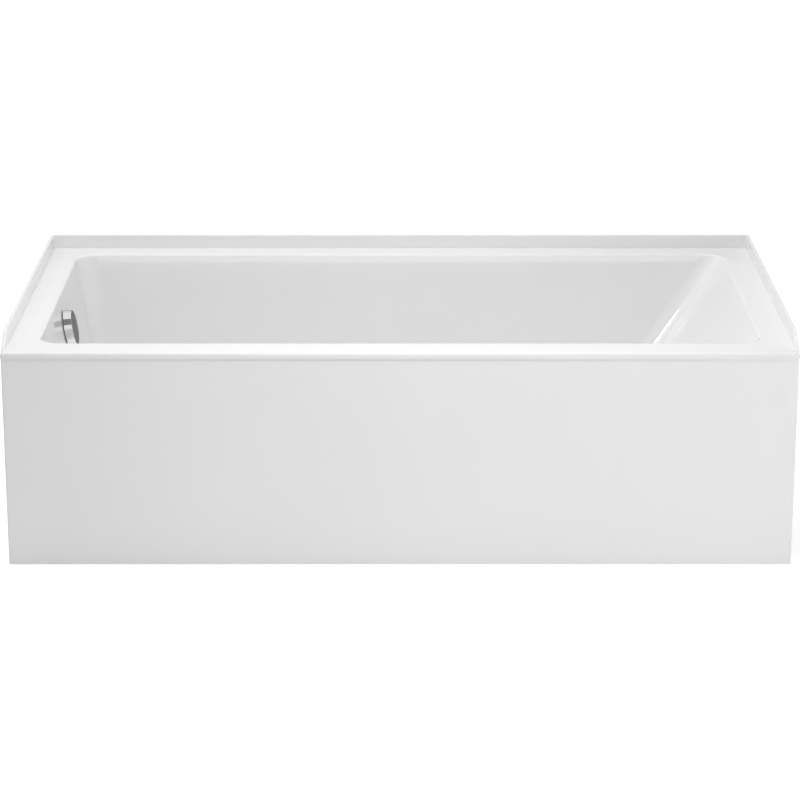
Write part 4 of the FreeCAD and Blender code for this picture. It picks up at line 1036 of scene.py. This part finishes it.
@dataclass
class FrontApron:
    """The flat front panel with returned ends, softened edges and a returned foot."""

    half_length: float = 0.7615
    face_y: float = -0.4045
    thickness: float = 0.005
    side_return: float = 0.046
    foot_return: float = 0.024
    corner: float = 0.004
    top: float = 0.4185
    foot_round: float = 0.0012

    def outline(self, inset: float, height: float) -> list[Corner]:
        """Plan of the outer face.

        Args:
            inset: Distance in from the face.
            height: Height of the plan.

        Returns:
            Points and outward normals, from the left end round to the right one.
        """
        end = self.half_length - inset
        face = self.face_y + inset
        radius = max(self.corner - inset, 0.0)
        rear = self.face_y + self.side_return
        corners = [(Vector((-end, rear, height)), -RIGHT)]
        for side, start, stop in ((-1, 180.0, 270.0), (1, 270.0, 360.0)):
            for angle in fan(CORNER_STEPS, start, stop):
                centre = Vector((side * (end - radius), face + radius, height))
                corners.append((centre + level(angle) * radius, level(angle)))
        corners.append((Vector((end, rear, height)), RIGHT))
        return corners

    def build(self) -> Object:
        """Builds the apron.

        Returns:
            The apron's object.
        """
        skin = Skin("front_apron_panel")
        rows = []
        for angle in fan(FINE_ARC_STEPS, 90.0, 0.0):
            inset = self.foot_round * (1 - cos(angle))
            plan = self.outline(inset, self.foot_round * (1 - sin(angle)))
            rows.append([(point, out * cos(angle) - UP * sin(angle))
                         for point, out in plan])
        rows.append([(Vector((p.x, p.y, self.top)), out) for p, out in self.outline(0.0, 0.0)])
        skin.grid(rows)
        inner_x = self.half_length - self.thickness
        inner_y = self.face_y + self.thickness
        foot_y = self.face_y + self.foot_return
        rear = self.face_y + self.side_return
        inner = [(-inner_x, rear), (-inner_x, inner_y), (inner_x, inner_y), (inner_x, rear)]
        inner_top = [Vector((x, y, self.top)) for x, y in inner]
        inner_low = [Vector((x, y, self.thickness)) for x, y in inner]
        for index, normal in enumerate((RIGHT, BACK, -RIGHT)):
            quad = [inner_low[index], inner_low[index + 1], inner_top[index + 1], inner_top[index]]
            skin.plate(quad, normal)
        skin.plate([point for point, _ in rows[-1]] + list(reversed(inner_top)), UP)
        foot = [Vector((-inner_x, foot_y, 0.0)), Vector((inner_x, foot_y, 0.0))]
        raised = [point + UP * self.thickness for point in foot]
        skin.plate([inner_low[1], inner_low[2], raised[1], raised[0]], UP)
        skin.plate([foot[0], foot[1], raised[1], raised[0]], BACK)
        ends = [Vector((side * inner_x, rear, 0.0)) for side in (-1, 1)]
        skin.plate([point for point, _ in rows[0]] + [ends[1], foot[1], foot[0], ends[0]], -UP)
        for side, inward in ((0, RIGHT), (1, -RIGHT)):
            column = [row[-side][0] for row in rows]
            close = [ends[side] + UP * height for height in (self.top, self.thickness, 0.0)]
            skin.plate(column + close, BACK)
            skin.plate([ends[side], foot[side], raised[side], close[1]], inward)
        return skin.build("root", Slot.ACRYLIC, "front_apron")


@dataclass
class ControlKnob:
    """The overflow control: a deep hollow disc whose rim narrows from the wall to its face."""

    back: float = 0.002
    front: float = 0.0182
    back_radius: float = 0.0388
    taper: float = radians(10.0)
    edge_round: float = 0.0008
    wall: float = 0.0025
    hub_radius: float = 0.0065
    hub_back: float = 0.004
    bore_radius: float = 0.003
    notch_half: float = 19.5
    notch_depth: float = 0.006
    rim_steps: int = 86
    notch_steps: int = 10

    def rim(self, height: float) -> float:
        """Outer radius at a height above the wall."""
        return self.back_radius - (height - self.back) * tan(self.taper)

    def corner(self, angle: float, radius: float, height: float, out: float,
               forward: float) -> Corner:
        """Corner of the skin.

        Args:
            angle: Turn about the axis, from straight down the wall.
            radius: Distance from the axis.
            height: Height above the wall.
            out: Part of the normal away from the axis.
            forward: Part of the normal along the axis.

        Returns:
            The point and its normal.
        """
        down = Vector((sin(CONTROL_LEAN), 0.0, -cos(CONTROL_LEAN)))
        away = down * cos(angle) + BACK * sin(angle)
        return (CONTROL_CENTRE + away * radius + CONTROL_AXIS * height,
                away * out + CONTROL_AXIS * forward)

    def circle(self, angles: Sequence[float], radius: float, height: float) -> list[Vector]:
        """Points on a circle about the axis, at the given angles."""
        return [self.corner(angle, radius, height, 1.0, 0.0)[0] for angle in angles]

    def skirt(self, skin: Skin, angles: Sequence[float], heights: Sequence[float]) -> None:
        """Adds the rim, its back edge and its inner wall over a run of angles.

        Args:
            skin: Skin that takes the faces.
            angles: Angles of the columns.
            heights: Heights of the rows, from the back edge to the foot of the front round.
        """
        out, forward = cos(self.taper), sin(self.taper)
        thick = self.wall / out
        ceiling = self.front - self.wall
        start = heights[0]
        skin.grid([[self.corner(angle, self.rim(height), height, out, forward)
                    for angle in angles] for height in heights])
        skin.grid([[self.corner(angle, self.rim(start) - inset, start, 0.0, -1.0)
                    for angle in angles] for inset in (0.0, thick)])
        skin.grid([[self.corner(angle, self.rim(height) - thick, height, -out, -forward)
                    for angle in angles]
                   for height in [known for known in heights if known < ceiling] + [ceiling]])

    def build(self) -> Object:
        """Builds the knob.

        Returns:
            The knob's object.
        """
        skin = Skin("overflow_control_knob")
        half = self.notch_half
        round_foot = self.front - self.edge_round
        shoulder = round_foot + self.edge_round * sin(self.taper)
        step = self.back + self.notch_depth
        long_way = fan(self.rim_steps, half, 360.0 - half)
        short_way = fan(self.notch_steps, -half, half)
        self.skirt(skin, long_way, (self.back, step, shoulder))
        self.skirt(skin, short_way, (step, shoulder))
        thick = self.wall / cos(self.taper)
        for side in (-1, 1):
            cheek = ((self.back, 0.0), (step, 0.0), (step, thick), (self.back, thick))
            skin.plate([self.corner(radians(side * half), self.rim(height) - inset, height,
                                    1.0, 0.0)[0] for height, inset in cheek], BACK * -side)
        turns = long_way + short_way[1:-1]
        middle = self.rim(round_foot) - self.edge_round / cos(self.taper)
        rows = [[self.corner(angle, middle + self.edge_round * cos(bend),
                             round_foot + self.edge_round * sin(bend),
                             cos(bend), sin(bend)) for angle in turns]
                for bend in fan(ARC_STEPS, degrees(self.taper), 90.0)]
        skin.grid(rows, closed=True)
        skin.plate([point for point, _ in rows[-1]], CONTROL_AXIS)
        ceiling = self.front - self.wall
        angles = fan(self.rim_steps + self.notch_steps, 0.0, 360.0)[:-1]
        skin.plate(self.circle(turns, self.rim(ceiling) - thick, ceiling), -CONTROL_AXIS,
                   [self.circle(angles, self.hub_radius, ceiling)])
        for radius, way in ((self.hub_radius, 1.0), (self.bore_radius, -1.0)):
            skin.grid([[self.corner(angle, radius, height, way, 0.0) for angle in angles]
                       for height in (ceiling, self.hub_back)], closed=True)
        skin.plate(self.circle(angles, self.hub_radius, self.hub_back), -CONTROL_AXIS,
                   [self.circle(angles, self.bore_radius, self.hub_back)])
        skin.plate(self.circle(angles, self.bore_radius, ceiling), -CONTROL_AXIS)
        return skin.build("knob", Slot.CHROME, "overflow_knob")


# Dressing of the pieces

def dress(piece: Object, material: Material) -> None:
    """Gives every face of a piece one finish.

    Args:
        piece: The piece.
        material: The finish's material.
    """
    if not piece.material_slots:
        piece.data.materials.append(None)
    for slot in piece.material_slots:
        slot.link = "OBJECT"
        slot.material = material


@dataclass
class Finishes:
    """One material for each slot of the record, and three more: crosswise timber, the control's
    chrome with its painted reflection, and a dark backplate that is a painted shadow.
    """

    made: dict[str, Material] = field(default_factory=dict)

    def prepare(self) -> None:
        """Builds every finish of the tub."""
        chosen = {
            Slot.ACRYLIC: Plastic("gloss_acrylic", (0.82, 0.82, 0.82), (0.805, 0.805, 0.805),
                                  (0.02, 0.045), grain=16.0, grain_detail=1.0, clouds=2.2,
                                  smears=35.0, bending=1.49, coat=0.25),
            Slot.CHROME: PolishedMetal("polished_chrome"),
            Slot.PVC: Plastic("white_pvc", (0.80, 0.80, 0.78), (0.74, 0.74, 0.72)),
            Slot.ABS: Plastic("black_abs", (0.030, 0.030, 0.031), (0.020, 0.020, 0.021)),
            Slot.NYLON: Plastic("grey_nylon", (0.20, 0.205, 0.21), (0.16, 0.165, 0.17),
                                (0.4, 0.55)),
            Slot.RUBBER: Plastic("black_rubber", (0.022, 0.022, 0.022), (0.014, 0.014, 0.014),
                                 (0.6, 0.8), 1500.0, 0.00005),
            Slot.TIMBER: PlanedTimber("softwood_lengthwise"),
            Slot.BOARD: ParticleBoard(),
            Slot.GALVANISED: CoatedSteel("galvanised_sheet"),
            Slot.ZINC: CoatedSteel("bright_zinc", (0.70, 0.70, 0.67), (0.60, 0.60, 0.57), 900.0,
                                   (0.18, 0.3)),
            Slot.STAINLESS: PolishedMetal("turned_stainless", (0.60, 0.60, 0.60),
                                          (0.52, 0.52, 0.52), (0.18, 0.30), 700.0,
                                          (1.0, 1.0, 12.0)),
            Slot.BRASS: PolishedMetal("turned_brass", (0.80, 0.62, 0.28), (0.70, 0.52, 0.22),
                                      (0.15, 0.28)),
        }
        self.made = {slot.value: finish.material() for slot, finish in chosen.items()}
        self.made["crosswise"] = PlanedTimber("softwood_crosswise", along_x=False).material()
        self.made["control"] = ControlChrome().material()
        # Dark backplate: a painted shadow in the gap behind the control knob, in place of its
        # chrome.
        self.made["shaded_plate"] = PolishedMetal("painted_shadow_backplate", (0.10, 0.10, 0.10),
                                                  (0.07, 0.07, 0.07), (0.3, 0.45)).material()
        log.info("finishes: %d", len(self.made))

    def apply(self) -> None:
        """Dresses every CAD node with the finish of its slot."""
        for part in frame["record"]["subparts"]:
            dress(frame["nodes"][part["node"]], self.made[part["material_slot"]])
        for name in ("rim_rail_drain_end", "rim_rail_backrest_end"):
            dress(frame["nodes"][name], self.made["crosswise"])
        # The backplate is painted dark as the shadow in the gap behind the knob.
        dress(frame["nodes"]["overflow_backplate"], self.made["shaded_plate"])


# Studio

@dataclass(frozen=True)
class SoftBox:
    """A soft rectangular lamp."""

    name: str
    place: Triple
    aim: Triple
    size: Pair
    power: float
    mirrored: bool = True

    def build(self) -> None:
        """Hangs the lamp and turns it to its aim."""
        lamp = bpy.data.lights.new(self.name, "AREA")
        lamp.shape = "RECTANGLE"
        lamp.size, lamp.size_y = self.size
        lamp.energy = self.power
        holder = bpy.data.objects.new(self.name, lamp)
        holder.location = self.place
        way = Vector(self.aim) - Vector(self.place)
        holder.rotation_euler = way.to_track_quat("-Z", "Y").to_euler()
        holder.visible_glossy = self.mirrored
        bpy.context.scene.collection.objects.link(holder)


def stage_sheet(name: str, x: Pair, y: Pair, height: float) -> Object:
    """Makes a level rectangle of the studio.

    Args:
        name: Name of the sheet.
        x: Its two ends along X.
        y: Its two ends along Y.
        height: Height of the sheet.

    Returns:
        The sheet's object.
    """
    corners = [(x[0], y[0]), (x[1], y[0]), (x[1], y[1]), (x[0], y[1])]
    mesh = bpy.data.meshes.new(name)
    mesh.from_pydata([(*corner, height) for corner in corners], [], [(0, 1, 2, 3)])
    sheet = bpy.data.objects.new(name, mesh)
    bpy.context.scene.collection.objects.link(sheet)
    return sheet


@dataclass
class Studio:
    """White room: pale floor, plain sky, dark card, five soft lamps and the camera."""

    camera_place: Triple = (0.0, -5.39629, 1.90955)
    camera_tilt: float = 16.7088
    focal: float = 2736.33
    principal_row: float = 362.35
    side: float = 800.0
    sensor: float = 36.0
    far_clip: float = 200.0
    ambient: float = 0.45
    lamps: tuple[SoftBox, ...] = (
        SoftBox("overhead", (-0.4, -0.1, 3.2), (0.0, 0.0, 0.4), (3.4, 2.0), 57.0, mirrored=False),
        SoftBox("centre_high", (0.05, -0.85, 1.45), (0.05, 0.3, 0.25), (0.5, 0.3), 5.8,
                mirrored=False),
        SoftBox("left_high", (-2.4, 0.22, 2.13), (0.55, 0.30, 0.28), (0.20, 0.16), 6.0),
        SoftBox("front", (0.0, -6.6, 0.62), (0.0, 0.0, 0.4), (4.0, 0.4), 7.0),
        SoftBox("right_low", (2.2, -1.9, 0.34), (0.5, -0.4, 0.22), (1.0, 0.5), 14.0,
                mirrored=False),
    )
    card_height: float = 2.9
    card_x: Pair = (-5.0, 5.0)
    card_y: Pair = (-3.3, -0.6)
    card_clouds: float = 3.0
    card_glow: Pair = (0.17, 0.20)
    card_tone: float = 0.02
    floor_reach: float = 30.0
    floor_drop: float = 0.0005
    floor_clouds: float = 1.5
    floor_tone: Pair = (0.90, 0.92)
    floor_roughness: float = 0.9
    glow_reach: Pair = (1.5, 6.0)
    near_glow: float = 0.60

    def sky(self) -> None:
        """White to the eye and in reflections, softer as a light."""
        world = bpy.data.worlds.new("studio_sky")
        bpy.context.scene.world = world
        world.use_nodes = True
        tree = world.node_tree
        tree.nodes.clear()
        output = tree.nodes.new("ShaderNodeOutputWorld")
        background = tree.nodes.new("ShaderNodeBackground")
        brightness = tree.nodes.new("ShaderNodeMapRange")
        set_inputs(brightness, {"To_Min": self.ambient, "To_Max": 1.0})
        tree.links.new(directly_seen(tree), brightness.inputs["Value"])
        tree.links.new(brightness.outputs["Result"], background.inputs["Strength"])
        tree.links.new(background.outputs[0], output.inputs["Surface"])

    def dark_card(self) -> None:
        """Dark board overhead that only mirrors see, for the dark bands on the chrome."""
        card = stage_sheet("dark_card", self.card_x, self.card_y, self.card_height)
        graph = Graph("dark_card")
        low, high = ((tone, tone, tone) for tone in self.card_glow)
        glow = graph.ramp(graph.noise(self.card_clouds), low, high)
        graph.link(glow, graph.shader.inputs["Emission Color"])
        set_inputs(graph.shader, {"Emission_Strength": 1.0, "Roughness": 1.0,
                                  "Base_Color": (self.card_tone,) * 3 + (1.0,)})
        card.data.materials.append(graph.material)
        card.visible_camera = False
        card.visible_diffuse = False
        card.visible_shadow = False
        card.visible_transmission = False

    def floor(self) -> None:
        """Pale floor that is white to the eye and still takes the tub's shadow."""
        ends = (-self.floor_reach, self.floor_reach)
        floor = stage_sheet("studio_floor", ends, ends, 0.0)
        floor.location.z = -self.floor_drop
        graph = Graph("pale_floor")
        shader = graph.shader.inputs
        low, high = ((tone, tone, tone) for tone in self.floor_tone)
        graph.link(graph.ramp(graph.noise(self.floor_clouds), low, high), shader["Base Color"])
        reach = graph.add("VectorMath")
        reach.operation = "LENGTH"
        graph.link(graph.place, reach.inputs[0])
        near, far = self.glow_reach
        growth = graph.add("MapRange", From_Min=near, From_Max=far, To_Min=self.near_glow,
                           To_Max=1.0)
        graph.link(reach.outputs["Value"], growth.inputs["Value"])
        glow = graph.arithmetic("MULTIPLY", directly_seen(graph.tree), growth.outputs["Result"])
        graph.link(glow, shader["Emission Strength"])
        set_inputs(graph.shader, {"Roughness": self.floor_roughness,
                                  "Emission_Color": (1.0, 1.0, 1.0, 1.0)})
        floor.data.materials.append(graph.material)

    def camera(self) -> None:
        """Sets up the camera of the photograph."""
        camera = bpy.data.cameras.new("view")
        camera.sensor_width = self.sensor
        camera.lens = self.focal * self.sensor / self.side
        camera.shift_y = (self.principal_row - self.side / 2) / self.side
        camera.clip_end = self.far_clip
        holder = bpy.data.objects.new("view", camera)
        holder.location = self.camera_place
        holder.rotation_euler = (radians(90.0 - self.camera_tilt), 0.0, 0.0)
        bpy.context.scene.collection.objects.link(holder)
        bpy.context.scene.camera = holder

    def build(self) -> None:
        """Builds the whole studio."""
        self.sky()
        self.floor()
        self.dark_card()
        for lamp in self.lamps:
            lamp.build()
        self.camera()
        bpy.context.scene.view_settings.view_transform = "Standard"
        log.info("studio: %d lamps", len(self.lamps))


def main() -> None:
    """Builds the tub's looks."""
    logging.basicConfig(level=logging.INFO, format="%(message)s")
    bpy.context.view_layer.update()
    finishes = Finishes()
    finishes.prepare()
    finishes.apply()
    for part in (TubShell(), FrontApron()):
        dress(part.build(), finishes.made[Slot.ACRYLIC.value])
    dress(ControlKnob().build(), finishes.made["control"])
    Studio().build()


if __name__ == "__main__":
    main()
